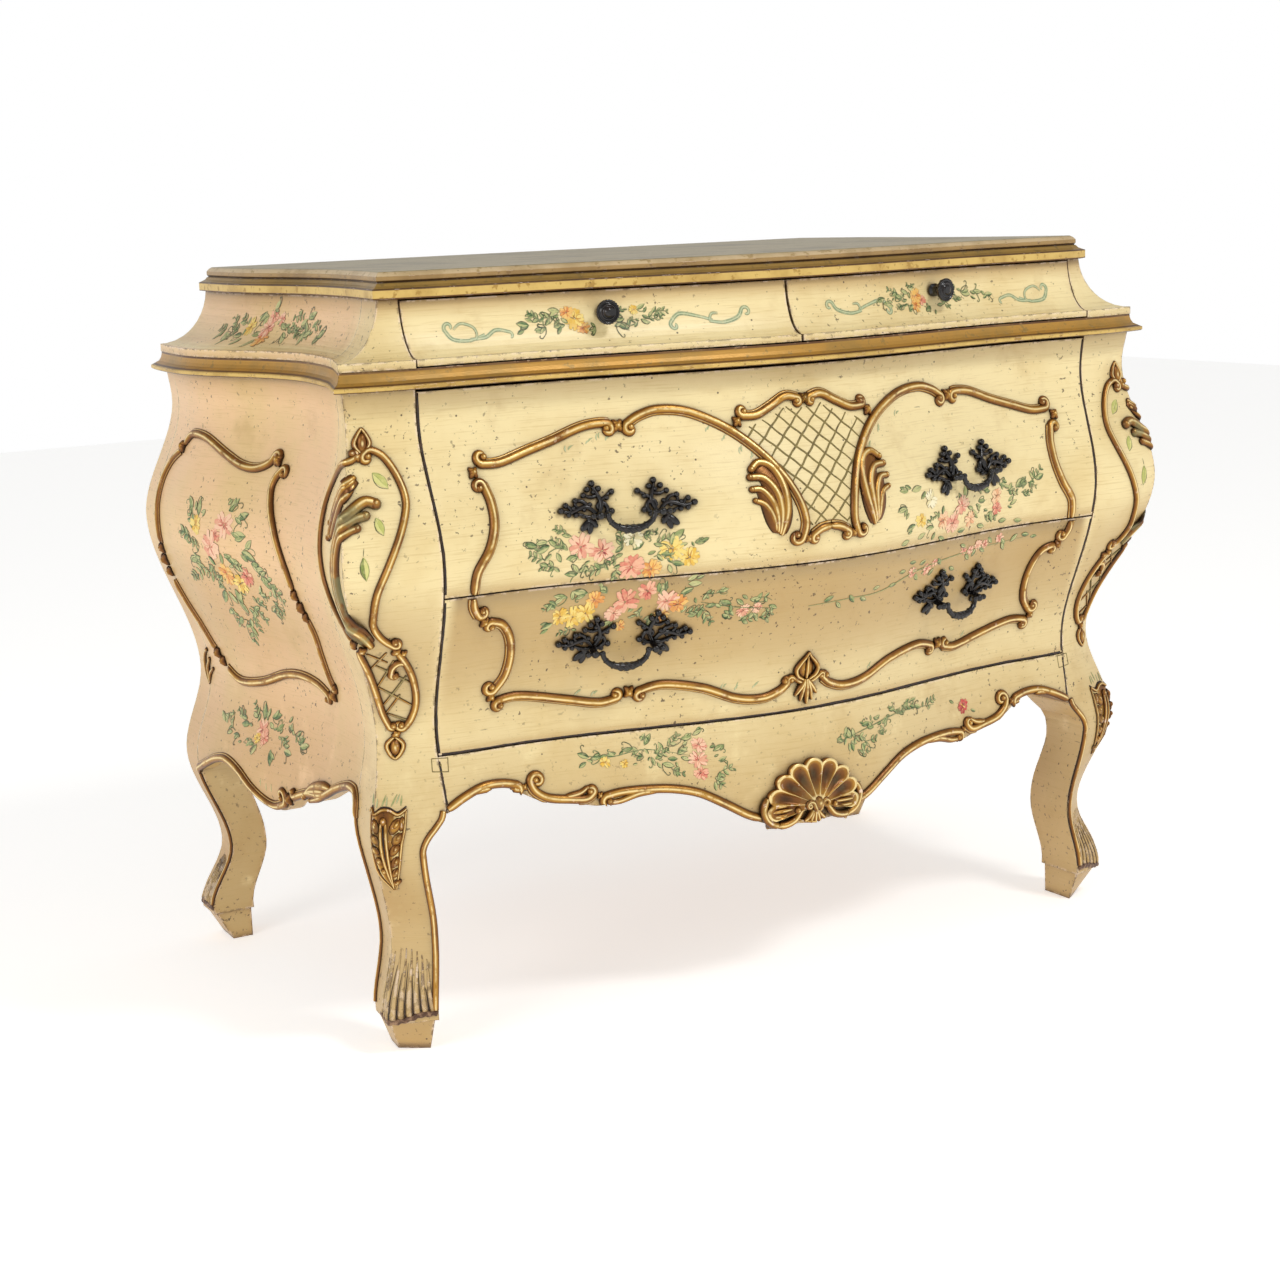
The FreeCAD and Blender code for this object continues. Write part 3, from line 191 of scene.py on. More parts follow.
def agedPaint(name):
    material, tree, place = startMaterial(name)
    patch, speck = partial(patches, tree, place), partial(specks, tree, place)
    x, y, height = addNode(tree, "ShaderNodeSeparateXYZ", {0: place}).outputs
    broadTurn = addNode(tree, "ShaderNodeBevel", {"Radius": 0.022}, samples=6).outputs[0]
    facing = addNode(tree, "ShaderNodeSeparateXYZ", {0: broadTurn}).outputs
    sideways, across = [addNode(tree, "ShaderNodeMath", {0: value}, operation="ABSOLUTE").outputs[0]
                        for value in (facing[0], x)]
    # rises towards the bottom: it sets painted shade on the lower parts, and makes specks more frequent there
    low = masked(tree, (height, 0.48, 0.14, 0.62))
    often = addNode(tree, "ShaderNodeMath", {0: patch(120, 0.42, 0.6), 1: low}, operation="MAXIMUM").outputs[0]
    pits = masked(tree, speck(19, 1.5, 0.5), 0.9)
    wideEdge = roundedEdge(tree, 5.0)[1]
    edgeNormal, edge = roundedEdge(tree, 1.3)
    # painted shade in bands under the ledges: under the upper drawer, under the top and under the waist
    shaded = [(shade, (height, (ledge - reach) * mm, ledge * mm, strength),
               (across, (wide + 3) * mm, (wide - 12) * mm),
               addNode(tree, "ShaderNodeMath", {0: height, 1: (ledge + 0.4) * mm}, operation="LESS_THAN").outputs[0])
              for ledge, reach, strength, wide, shade in paintFinish["ledges"]]
    colour = layered(tree, paintFinish, "ground", [
        # sides warmer, less near the front: partly the paint's own pinker tone and partly painted shade
        ("warm", (sideways, 0.35, 0.95, 0.95), (y, (backY - 545) * mm, (backY - 450) * mm, 1.0, 0.25)),
        ("cloud", patch(170, 0.42, 0.7), 0.6),
        ("cloud", patch(24, 0.5, 0.8), 0.3),
        ("tan", patch(70, 0.56, 0.8), 0.34),
        # painted shade on faces that look down
        ("tan", (facing[2], -0.1, -0.5), 0.55),
        # painted shade on the lower parts, in patches
        ("tan", low, patch(60, 0.2, 0.45)),
        *shaded,
        ("drag", patch(44, 0.5, 0.68, 6.0, (1.0, 1.0, 26.0)), 0.24),
        ("speck", speck(34, 1.5, 0.5, (0.22, 0.22, 2.2)), 0.6),
        ("speck", speck(9, 0.9, 0.2), 0.75),
        ("speck", patch(6, 0.635, 0.675, 3.0), often, 0.8),
        ("speck", pits),
        # painted shade and old glazing in corners and beside raised work
        ("glaze", recess(tree, 11, 0.35, 0.9), 0.85),
        ("gesso", wideEdge, patch(16, 0.48, 0.54), 0.7),
        ("bole", wideEdge, patch(9, 0.53, 0.58), 0.85),
        ("bole", edge, patch(11, 0.4, 0.5), 0.9),
        ("rawWood", rawInside(tree, place, height))])
    endMaterial(tree, {"Base Color": colour, "IOR": 1.5, "Coat Weight": 0.12, "Coat Roughness": 0.3,
                       **grained(tree, place, 3, 5.0, 0.35, (0.34, 0.52), edgeNormal, pits, roughness=0.7)})
    return material


# Water gilding over brown bole, with small pale chips where the gesso shows. The colour follows
# the height on each rounded shape: a painted highlight along the ridge, gold below it, and brown
# down the flanks to near black at their foot, which is partly the bole and partly painted shade.
giltFinish = {"hollow": "#34200b", "bole": "#7a4a18", "gold": "#b5832f", "bright": "#f8de9c",
              "gesso": "#efd3bb", "verdigris": "#7d7f58"}


def gildedRelief(name, greenish, chipped, hollowShadeAndDirt=0.75):
    material, tree, place = startMaterial(name)
    patch = partial(patches, tree, place)
    rise = addNode(tree, "ShaderNodeAttribute", attribute_name="rise").outputs["Fac"]
    crown = masked(tree, (rise, 0.55, 0.95))
    chips = masked(tree, crown, patch(8, 0.62, 0.68), chipped)
    colour = layered(tree, giltFinish, "hollow", [
        # by height on each shape: near black foot and brown flanks, partly bole and partly painted shade; gold crown;
        # a painted highlight on top
        ("bole", (rise, 0.05, 0.6)),
        ("gold", crown, patch(26, 0.28, 0.62)),
        ("bright", (rise, 0.9, 1.0), patch(14, 0.3, 0.5)),
        ("verdigris", patch(30, 0.48, 0.6, 5.0), greenish),
        ("hollow", specks(tree, place, 7, 0.9, 0.3), 0.7),
        # painted shade and dirt in the hollows
        ("hollow", recess(tree, 5, 0.3, 0.8), hollowShadeAndDirt),
        ("gesso", chips)])
    metal = addNode(tree, "ShaderNodeMapRange", {0: chips, 3: 0.5, 4: 0.0}).outputs[0]
    endMaterial(tree, {"Base Color": colour, "Metallic": metal,
                       **grained(tree, place, 2.5, 4.0, 0.4, (0.26, 0.46))})
    return material


# Long gilt mouldings, coloured in bands up their profile: each band has its lowest level in mm, its
# colour, the colour of its worn patches, and how metallic it is.
railBands = [
    (730.0, "#8f6526", "#6b4618", 0.4), (738.6, "#5d3a12", "#3c220a", 0.2), (740.0, "#d9b768", "#a8823c", 0.4),
    (744.6, "#6b4413", "#4a2c0c", 0.2), (746.2, "#b98a3a", "#9c7b3c", 0.35), (757.6, "#5f3b12", "#8a6634", 0.1),
]
topBands = [
    (820.0, "#5d3a12", "#3c220a", 0.2), (831.2, "#6f4719", "#3c220a", 0.1), (833.0, "#d8b768", "#b08a42", 0.35),
    (841.0, "#5f3e14", "#43290c", 0.1), (842.8, "#a07e3c", "#846a34", 0.25), (848.6, "#4f3414", "#3f290f", 0.1),
    (850.6, "#a78650", "#86683a", 0.1), (855.2, "#cdb48a", "#a98d5c", 0.05), (859.5, "#9a8a5e", "#80703f", 0.1),
]


def bandedGilding(name, bands, topStreaks=False):
    material, tree, place = startMaterial(name)
    patch = partial(patches, tree, place)
    height = addNode(tree, "ShaderNodeSeparateXYZ", {0: place}).outputs[2]
    broad = masked(tree, patch(60, 0.42, 0.66, 7.0), 0.7)
    worn = addNode(tree, "ShaderNodeMath", {0: broad, 1: patch(9, 0.56, 0.64, 5.0)}, operation="MAXIMUM").outputs[0]
    tones = [layered(tree, {}, main, [(wornHex, worn)]) for _, main, wornHex, _ in bands]
    layers, metal = [], bands[0][3]
    for tone, (level, _, _, shine) in zip(tones[1:], bands[1:]):
        here = masked(tree, (height, (level - 0.3) * mm, (level + 0.3) * mm))
        layers.append((tone, here))
        metal = addNode(tree, "ShaderNodeMix", {0: here, 2: metal, 3: shine}).outputs[0]
    if topStreaks:
        top = masked(tree, (height, (bands[-1][0] - 0.1) * mm, (bands[-1][0] + 0.1) * mm))
        layers += [("#a3926a", patch(80, 0.42, 0.7, 8.0, (1.0, 10.0, 1.0)), top, 0.7),
                   ("#6a5c3c", patch(120, 0.5, 0.66, 6.0), top, 0.5)]
    edgeNormal, edge = roundedEdge(tree, 1.2)
    colour = layered(tree, giltFinish, tones[0], layers + [
        ("gesso", edge, patch(9, 0.55, 0.6)),
        ("hollow", edge, patch(6, 0.58, 0.62, 4.0, (1.3, 1.3, 1.3))),
        ("hollow", specks(tree, place, 9, 0.9, 0.25), 0.7),
        # painted shade and dirt in the corners
        ("hollow", recess(tree, 7, 0.3, 0.85), 0.7)])
    endMaterial(tree, {"Base Color": colour, "Metallic": metal,
                       **grained(tree, place, 3, 5.0, 0.35, (0.3, 0.5), edgeNormal)})
    return material


# Cast bronze with a dark brown lacquer patina: nearly black, glossy, warmer where rubbed.
bronzeFinish = {"patina": "#090606", "rubbed": "#2e2019"}


def darkBronze(name):
    material, tree, place = startMaterial(name)
    rise = addNode(tree, "ShaderNodeAttribute", attribute_name="rise").outputs["Fac"]
    colour = layered(tree, bronzeFinish, "patina",
                     [("rubbed", (rise, 0.75, 1.0), patches(tree, place, 8, 0.42, 0.62), 0.6)])
    endMaterial(tree, {"Base Color": colour, "Metallic": 0.0, "IOR": 1.5, "Specular IOR Level": 0.55,
                       **grained(tree, place, 1.8, 3.0, 0.2, (0.16, 0.3), depthInMm=0.4)})
    return material


# Planed softwood left bare: straight grain along the board, darker late wood, dusty and dull, and
# darkened in its corners as painted shade.
def planedWood(name, lightHex, darkHex, grainAlong):
    material, tree, place = startMaterial(name)
    stretch = tuple(0.06 if axis == grainAlong else 1.0 for axis in "XYZ")
    fibres = patches(tree, place, 7, 0.3, 0.75, 8.0, stretch)
    colour = layered(tree, {}, lightHex, [
        (darkHex, fibres),
        (darkHex, patches(tree, place, 120, 0.5, 0.75), 0.5),
        # painted shade in the corners
        ("#3a2a1a", recess(tree, 30, 0.2, 0.8), 0.5)])
    bump = addNode(tree, "ShaderNodeBump", {"Strength": 0.25, "Distance": 0.0004, "Height": fibres})
    endMaterial(tree, {"Base Color": colour, "Roughness": 0.72, "Normal": bump.outputs[0]})
    return material


# Thin satin oil colour, laid with a soft brush: what lies under it shows through in spots. The
# strokes of the sprays bring a tint of their own and show a little of the ivory ground.
def thinPaint(name, mainHex, underHex, spots=(6, 0.42, 0.75, 5.0), showing=1.0, roughness=0.5):
    material, tree, place = startMaterial(name)
    main = mainHex or addNode(tree, "ShaderNodeAttribute", attribute_name="tint").outputs["Color"]
    colour = layered(tree, {}, main, [(underHex, patches(tree, place, *spots), showing)])
    endMaterial(tree, {"Base Color": colour, "Roughness": roughness, "IOR": 1.5})
    return material


ivoryPaint = agedPaint("ivoryOilPaint")
giltCarved = gildedRelief("gildedCarving", 0.0, 0.35)
plumeGilt = gildedRelief("brownedGilding", 0.6, 0.15)
kneeGilt = gildedRelief("wornGilding", 0.15, 0.9, 0.15)
giltRail = bandedGilding("gildedRail", railBands)
giltTop = bandedGilding("oliveGiltTop", topBands, True)
bronze = darkBronze("darkPatinatedBronze")
boardWood = planedWood("planedSoftwood", "#9a7448", "#6d4c2b", "X")
sideWood = planedWood("planedDrawerSide", "#b08a5a", "#85602f", "Y")
drawerWood = planedWood("planedDrawerBack", "#b08a5a", "#85602f", "X")
sprayPaint = thinPaint("brushedOilColours", None, paintFinish["ground"], (5, 0.38, 0.8, 5.0), 0.42, 0.45)
oliveLine = thinPaint("olivePaintLine", "#84743c", "#574924")
# dark paint for the joint lines, and for the painted shade in the gaps of the feet and on the knees
jointAndShadePaint = thinPaint("darkJointAndShadePaint", "#1d110a", "#4a2f1a")
boleEdge = thinPaint("wornBoleEdge", "#4d2e17", "#b08a68")
print("materials ready")

# The finish of each CAD piece: the first pattern that its name fits.
finishRules = [
    (sideWood, "drawer.*_side_(left|right)$|runners|frieze_divider"), (drawerWood, "_(back|bottom)$"),
    (boardWood, "back_panel|bottom_board|dust_board|frieze_floor"), (giltRail, "waist_moulding"),
    (giltTop, "top_board"), (bronze, "plates|bail|knob"),
    (giltCarved, "moulding|cartouche|^shell$|^palmette$"), (ivoryPaint, ""),
]
for name, node in nodes.items():
    node.data.materials.clear()
    node.data.materials.append(next(finish for finish, pattern in finishRules if re.search(pattern, name)))
print("joinery finished")


def gathered(meshes):
    points, faces = [], []
    for mesh in meshes:
        first = len(points)
        points += [vertex.co.copy() for vertex in mesh.vertices]
        faces += [[first + index for index in face.vertices] for face in mesh.polygons]
    return points, faces


# Surfaces that raised work and paint lie on. place(a, z) gives the point and the normal there.
def skinOf(*names):
    return BVHTree.FromPolygons(*gathered([nodes[name].data for name in names]))


def frontRay(x, z):
    return Vector((x * mm, -0.75, z * mm)), Vector((0, 1, 0))


def sideRay(hand, depth, z):
    # depth is measured forwards from the rear face
    return Vector((hand * 0.8, (backY - depth) * mm, z * mm)), Vector((-hand, 0, 0))


def covers(skin, ray):
    return skin.ray_cast(*ray)[0] is not None


def castTo(skin, start, along):
    hit, normal, _, _ = skin.ray_cast(start, along)
    if hit is None:
        hit, normal, _, _ = skin.find_nearest(start + along)
    return hit, -normal if normal.dot(along) > 0 else normal


def onFront(*names):
    skin = skinOf(*names)
    return lambda x, z: castTo(skin, *frontRay(x, z))


def onSide(hand, *names):
    skin = skinOf(*names)
    return lambda depth, z: castTo(skin, *sideRay(hand, depth, z))


def arrisOf(hand, post):
    # the sharp edge between the front and the side of a post, from the bottom up
    mesh = nodes[post].data
    front, side = set(), set()
    for face in mesh.polygons:
        corners = {tuple(round(value, 5) for value in mesh.vertices[i].co) for i in face.vertices}
        if face.normal.y < -0.5:
            front |= corners
        elif hand * face.normal.x > 0.5:
            side |= corners
    best = {}
    for x, y, z in front & side:
        if z not in best or hand * x - y > hand * best[z][0] - best[z][1]:
            best[z] = (x, y)
    return sorted((z, x, y) for z, (x, y) in best.items())


def onCorner(hand, post, *beside):
    # a is the distance from the arris of a front post: positive on the front, negative on the side
    skin = skinOf(post, *beside)
    arris = arrisOf(hand, post)

    def edgeAt(z):
        for low, high in zip(arris, arris[1:]):
            if low[0] <= z <= high[0] and high[0] > low[0]:
                share = (z - low[0]) / (high[0] - low[0])
                return [l + share * (h - l) for l, h in zip(low, high)][1:]
        return arris[0 if z < arris[0][0] else -1][1:]

    def place(a, z):
        x, y = edgeAt(z * mm)
        inset = max(abs(a), 0.6) * mm
        front = castTo(skin, Vector((x - hand * inset, -0.75, z * mm)), Vector((0, 1, 0)))
        side = castTo(skin, Vector((hand * 0.8, y + inset, z * mm)), Vector((-hand, 0, 0)))
        share = min(max(0.5 + a / 16.0, 0.0), 1.0)
        return (front if a >= 0 else side)[0], side[1].lerp(front[1], share).normalized()
    return place


# Lines in the flat of a surface, in mm: a list of (a, z) points.
def mirrored(points, hand):
    return [(hand * a, z) for a, z in points]


def smoothLine(points, step=3.0):
    dense = []
    ends = [points[0], *points, points[-1]]
    for index in range(1, len(ends) - 2):
        for count in range(12):
            t = count / 12
            dense.append(tuple(
                0.5 * (2 * s + (e - b) * t + (2 * b - 5 * s + 4 * e - f) * t * t
                       + (3 * s - b - 3 * e + f) * t ** 3)
                for b, s, e, f in zip(*ends[index - 1:index + 3])))
    return evenly(dense + [points[-1]], step)


def evenly(points, step):
    lengths = [math.dist(p, q) for p, q in zip(points, points[1:])]
    total = sum(lengths)
    count = max(2, round(total / step))
    result, walked, index = [points[0]], 0.0, 0
    for number in range(1, count):
        goal = total * number / count
        while walked + lengths[index] < goal:
            walked += lengths[index]
            index += 1
        share = (goal - walked) / lengths[index]
        result.append(tuple(p + (q - p) * share for p, q in zip(points[index], points[index + 1])))
    return result + [points[-1]]


def volute(line, turn, radius, turns=1.2):
    # a spiral that carries the line on, turning left (turn 1) or right (turn -1)
    (a, b), (x, z) = line[-2:]
    heading = math.atan2(z - b, x - a)
    spiral, arc, count = [], math.tau / 16, round(turns * 16)
    for number in range(1, count + 1):
        bend = radius * (1.0 - 0.72 * (number / count))
        heading += turn * arc
        x += bend * arc * math.cos(heading)
        z += bend * arc * math.sin(heading)
        spiral.append((x, z))
    return spiral


def scrolled(points, start=None, end=None, step=3.0, hand=1):
    # a smooth line whose ends curl up; returns its points, its girth at each, and its curled ends
    line = smoothLine(mirrored(points, hand), step)
    girth, ends = [1.0] * len(line), []
    for curl, atStart in ((start, True), (end, False)):
        if not curl:
            for number, share in enumerate((0.62, 0.84, 0.95)):
                girth[number if atStart else -1 - number] = share
            continue
        if atStart:
            line.reverse()
            girth.reverse()
        spiral = volute(line, curl[0] * hand, *curl[1:])
        line += spiral
        girth += [1.0 - 0.45 * (n + 1) / len(spiral) for n in range(len(spiral))]
        ends.append(line[-1])
        if atStart:
            line.reverse()
            girth.reverse()
    return line, girth, ends


def offsetLine(line, gap):
    # the same line, moved sideways in the flat
    result = []
    for index, (a, z) in enumerate(line):
        before, after = line[max(index - 1, 0)], line[min(index + 1, len(line) - 1)]
        da, dz = after[0] - before[0], after[1] - before[1]
        length = math.hypot(da, dz) or 1.0
        result.append((a - dz / length * gap, z + da / length * gap))
    return result


def tapered(count, start, middle, end):
    # girth along a leaf or stroke: thin, full, thin
    result = []
    for index in range(count):
        t = index / (count - 1)
        swell = math.sin(math.pi * t ** 0.8)
        result.append((start * (1 - t) + end * t) * (1 - swell) + middle * swell)
    return result


def bareStrand(points, facing, girth, tint=(1.0, 1.0, 1.0, 1.0)):
    return {"points": points, "facing": facing, "girth": girth, "tint": [tint] * len(points)}


def strand(place, line, girth, lift=0.0, tint=(1.0, 1.0, 1.0, 1.0)):
    spots = [place(a, z) for a, z in line]
    return bareStrand([point + normal * (lift * mm) for point, normal in spots],
                      [normal for _, normal in spots], girth, tint)


def ribbon(place, points, girth, lift, step=2.5, hand=1, scale=1.0):
    # a strand on a smooth line through the points; its girth is one number, or thin, full, thin
    line = smoothLine(mirrored(points, hand), step)
    widths = tapered(len(line), *girth) if isinstance(girth, tuple) else [girth] * len(line)
    return strand(place, line, [scale * width for width in widths], lift)


def growthTree(name, source, inputs):
    tree = bpy.data.node_groups.new(name, "GeometryNodeTree")
    for label, kind, value in ((source, "Geometry", None), *inputs, ("Finish", "Material", None)):
        socket = tree.interface.new_socket(label, in_out="INPUT", socket_type="NodeSocket" + kind)
        if value is not None:
            socket.default_value = value
    tree.interface.new_socket("Mesh", in_out="OUTPUT", socket_type="NodeSocketGeometry")
    return tree, addNode(tree, "NodeGroupInput").outputs


def riseMarked(tree, shape, axis):
    # stores how high each point of a shape lies along an axis of that shape
    place = addNode(tree, "GeometryNodeInputPosition").outputs[0]
    level = addNode(tree, "ShaderNodeSeparateXYZ", {0: place}).outputs[axis]
    return addNode(tree, "GeometryNodeStoreNamedAttribute", {"Geometry": shape, "Name": "rise", "Value": level},
                   data_type="FLOAT", domain="POINT").outputs[0]


def finishTree(tree, shape, finish):
    real = addNode(tree, "GeometryNodeRealizeInstances", {0: shape}).outputs[0]
    softened = addNode(tree, "GeometryNodeSetShadeSmooth", {0: real}).outputs[0]
    done = addNode(tree, "GeometryNodeSetMaterial", {"Geometry": softened, "Material": finish}).outputs[0]
    addNode(tree, "NodeGroupOutput", {0: done})
    return tree


# A swept moulding: a rounded bead that follows each strand and stands on the surface.
def makeSweepTree():
    tree, given = growthTree("sweptBead", "Strands", [
        ("Half Width", "Float", 0.004), ("Rise", "Float", 0.004), ("Sides", "Int", 12), ("Flat", "Bool", False)])
    facing, girth = [addNode(tree, "GeometryNodeInputNamedAttribute", {0: name}, data_type=kind).outputs[0]
                     for name, kind in (("facing", "FLOAT_VECTOR"), ("girth", "FLOAT"))]
    lines = addNode(tree, "GeometryNodeMeshToCurve", {0: given["Strands"]}).outputs[0]
    turned = addNode(tree, "GeometryNodeSetCurveNormal", {"Curve": lines, "Normal": facing}, mode="FREE").outputs[0]
    size = addNode(tree, "ShaderNodeCombineXYZ", {0: given["Rise"], 1: given["Half Width"], 2: 1.0}).outputs[0]
    ring = addNode(tree, "GeometryNodeCurvePrimitiveCircle", {"Resolution": given["Sides"], "Radius": 1.0})
    strip = addNode(tree, "GeometryNodeCurvePrimitiveLine", {"Start": (0, 1, 0), "End": (0, -1, 0)})
    profile = addNode(tree, "GeometryNodeSwitch", {0: given["Flat"], 1: ring.outputs[0], 2: strip.outputs[0]},
                      input_type="GEOMETRY").outputs[0]
    sized = addNode(tree, "GeometryNodeTransform", {"Geometry": riseMarked(tree, profile, 0), "Scale": size})
    swept = addNode(tree, "GeometryNodeCurveToMesh",
                    {"Curve": turned, "Profile Curve": sized.outputs[0], "Scale": girth,
                     "Fill Caps": True}).outputs[0]
    return finishTree(tree, swept, given["Finish"])


# Buds and lobes: one small rounded shape set on each point, turned to face out and to head along.
def makeBudTree():
    tree, given = growthTree("setBuds", "Points", [("Segments", "Int", 10), ("Rings", "Int", 6)])
    facing, heading, size = [
        addNode(tree, "GeometryNodeInputNamedAttribute", {0: name}, data_type="FLOAT_VECTOR").outputs[0]
        for name in ("facing", "heading", "size")]
    turn = addNode(tree, "FunctionNodeAxesToRotation", {0: facing, 1: heading}, primary_axis="Z", secondary_axis="X")
    bud = addNode(tree, "GeometryNodeMeshUVSphere",
                  {"Segments": given["Segments"], "Rings": given["Rings"], "Radius": 1.0}).outputs[0]
    planted = addNode(tree, "GeometryNodeInstanceOnPoints",
                      {"Points": given["Points"], "Instance": riseMarked(tree, bud, 2),
                       "Rotation": turn.outputs[0], "Scale": size}).outputs[0]
    return finishTree(tree, planted, given["Finish"])


sweepTree = makeSweepTree()
budTree = makeBudTree()


def grown(source, tree, values):
    # runs a node tree on a helper mesh and returns the result as a plain mesh
    holder = bpy.data.objects.new(source.name, source)
    bpy.context.scene.collection.objects.link(holder)
    modifier = holder.modifiers.new("grow", "NODES")
    modifier.node_group = tree
    for item in tree.interface.items_tree:
        if item.in_out == "INPUT" and item.name in values:
            modifier[item.identifier] = values[item.name]
    evaluated = holder.evaluated_get(bpy.context.evaluated_depsgraph_get())
    result = bpy.data.meshes.new_from_object(evaluated)
    bpy.data.objects.remove(holder)
    bpy.data.meshes.remove(source)
    return result


def setAttribute(mesh, name, kind, values):
    key = {"FLOAT": "value", "FLOAT_VECTOR": "vector", "FLOAT_COLOR": "color"}[kind]
    flat = values if kind == "FLOAT" else [part for value in values for part in value]
    mesh.attributes.new(name, kind, "POINT").data.foreach_set(key, flat)


def plainMesh(name, points, faces, material, rise=None):
    mesh = bpy.data.meshes.new(name)
    mesh.from_pydata(points, [], faces)
    mesh.materials.append(material)
    if rise:
        setAttribute(mesh, "rise", "FLOAT", rise)
    return mesh


def sweptMesh(strands, halfWidth, rise, finish, sides=12, flat=False):
    edges, first = [], 0
    for line in strands:
        count = len(line["points"])
        edges += [(first + index, first + index + 1) for index in range(count - 1)]
        first += count
    mesh = bpy.data.meshes.new("strands")
    mesh.from_pydata([point for line in strands for point in line["points"]], edges, [])
    for name, kind in (("facing", "FLOAT_VECTOR"), ("girth", "FLOAT"), ("tint", "FLOAT_COLOR")):
        setAttribute(mesh, name, kind, [value for line in strands for value in line[name]])
    return grown(mesh, sweepTree, {"Half Width": halfWidth * mm, "Rise": rise * mm, "Sides": sides,
                                   "Flat": flat, "Finish": finish})


def budMesh(buds, finish, segments=10, rings=6):
    # each bud: point, facing, heading, (length, width, height) in mm
    points, facing, heading, sizes = zip(*buds)
    mesh = bpy.data.meshes.new("buds")
    mesh.from_pydata(points, [], [])
    metres = [[side * mm for side in size] for size in sizes]
    for name, values in (("facing", facing), ("heading", heading), ("size", metres)):
        setAttribute(mesh, name, "FLOAT_VECTOR", values)
    return grown(mesh, budTree, {"Segments": segments, "Rings": rings, "Finish": finish})


def asPiece(name, meshes, body, replaced=()):
    # joins meshes of one finish into one finished object on a body
    rise, tint = [], []
    for mesh in meshes:
        heights, colours = mesh.attributes.get("rise"), mesh.attributes.get("tint")
        rise += [item.value for item in heights.data] if heights else [0.5] * len(mesh.vertices)
        tint += [tuple(item.color) for item in colours.data] if colours else [(1, 1, 1, 1)] * len(mesh.vertices)
    joined = plainMesh(name, *gathered(meshes), meshes[0].materials[0], rise)
    setAttribute(joined, "tint", "FLOAT_COLOR", tint)
    joined.shade_smooth()
    for mesh in meshes:
        bpy.data.meshes.remove(mesh)
    piece = bpy.data.objects.new(name, joined)
    bpy.context.scene.collection.objects.link(piece)
    if replaced:
        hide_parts(*replaced)
    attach(piece, body)


beadSize = {"halfWidth": 5.3, "rise": 4.9, "trim": 0.34, "trimGap": 4.9, "endBud": (4.625, 4.625, 5.55)}


def budAt(place, a, z, size, lift, angle=0.0):
    point, normal = place(a, z)
    ahead, _ = place(a + 2 * math.cos(angle), z + 2 * math.sin(angle))
    return (point + normal * (lift * mm), normal, (ahead - point).normalized(), size)


def beadWork(place, hand, runs, knots):
    # one set of scrolled beads on a surface: runs are (points, start curl, end curl)
    strands, buds = [], []
    for points, start, end in runs:
        line, girth, ends = scrolled(points, start, end, hand=hand)
        body = smoothLine(mirrored(points, hand))
        strands += [strand(place, line, girth, 0.3),
                    strand(place, offsetLine(body, beadSize["trimGap"] * hand), [beadSize["trim"]] * len(body), 0.2)]
        buds += [budAt(place, a, z, beadSize["endBud"], 1.0) for a, z in ends]
    for a, z, radius in knots:
        buds.append(budAt(place, hand * a, z, (radius * 0.9, radius * 0.9, radius * 1.15), 1.0))
        buds += [budAt(place, hand * a, z, (radius * 1.5, radius * 0.62, radius * 0.95), 0.8, angle)
                 for angle in (0.9, 2.2)]
    return strands, buds


def between(table, key, fromColumn, toColumn):
    rows = sorted(table, key=lambda row: row[fromColumn])
    if key <= rows[0][fromColumn]:
        return rows[0][toColumn]
    for low, high in zip(rows, rows[1:]):
        if key <= high[fromColumn]:
            share = (key - low[fromColumn]) / (high[fromColumn] - low[fromColumn])
            return low[toColumn] + share * (high[toColumn] - low[toColumn])
    return rows[-1][toColumn]


def rim(rayAt, skin, inside, outside):
    # edge of a piece between a covered and an uncovered coordinate
    for _ in range(14):
        middle = (inside + outside) / 2
        if covers(skin, rayAt(middle)):
            inside = middle
        else:
            outside = middle
    return inside


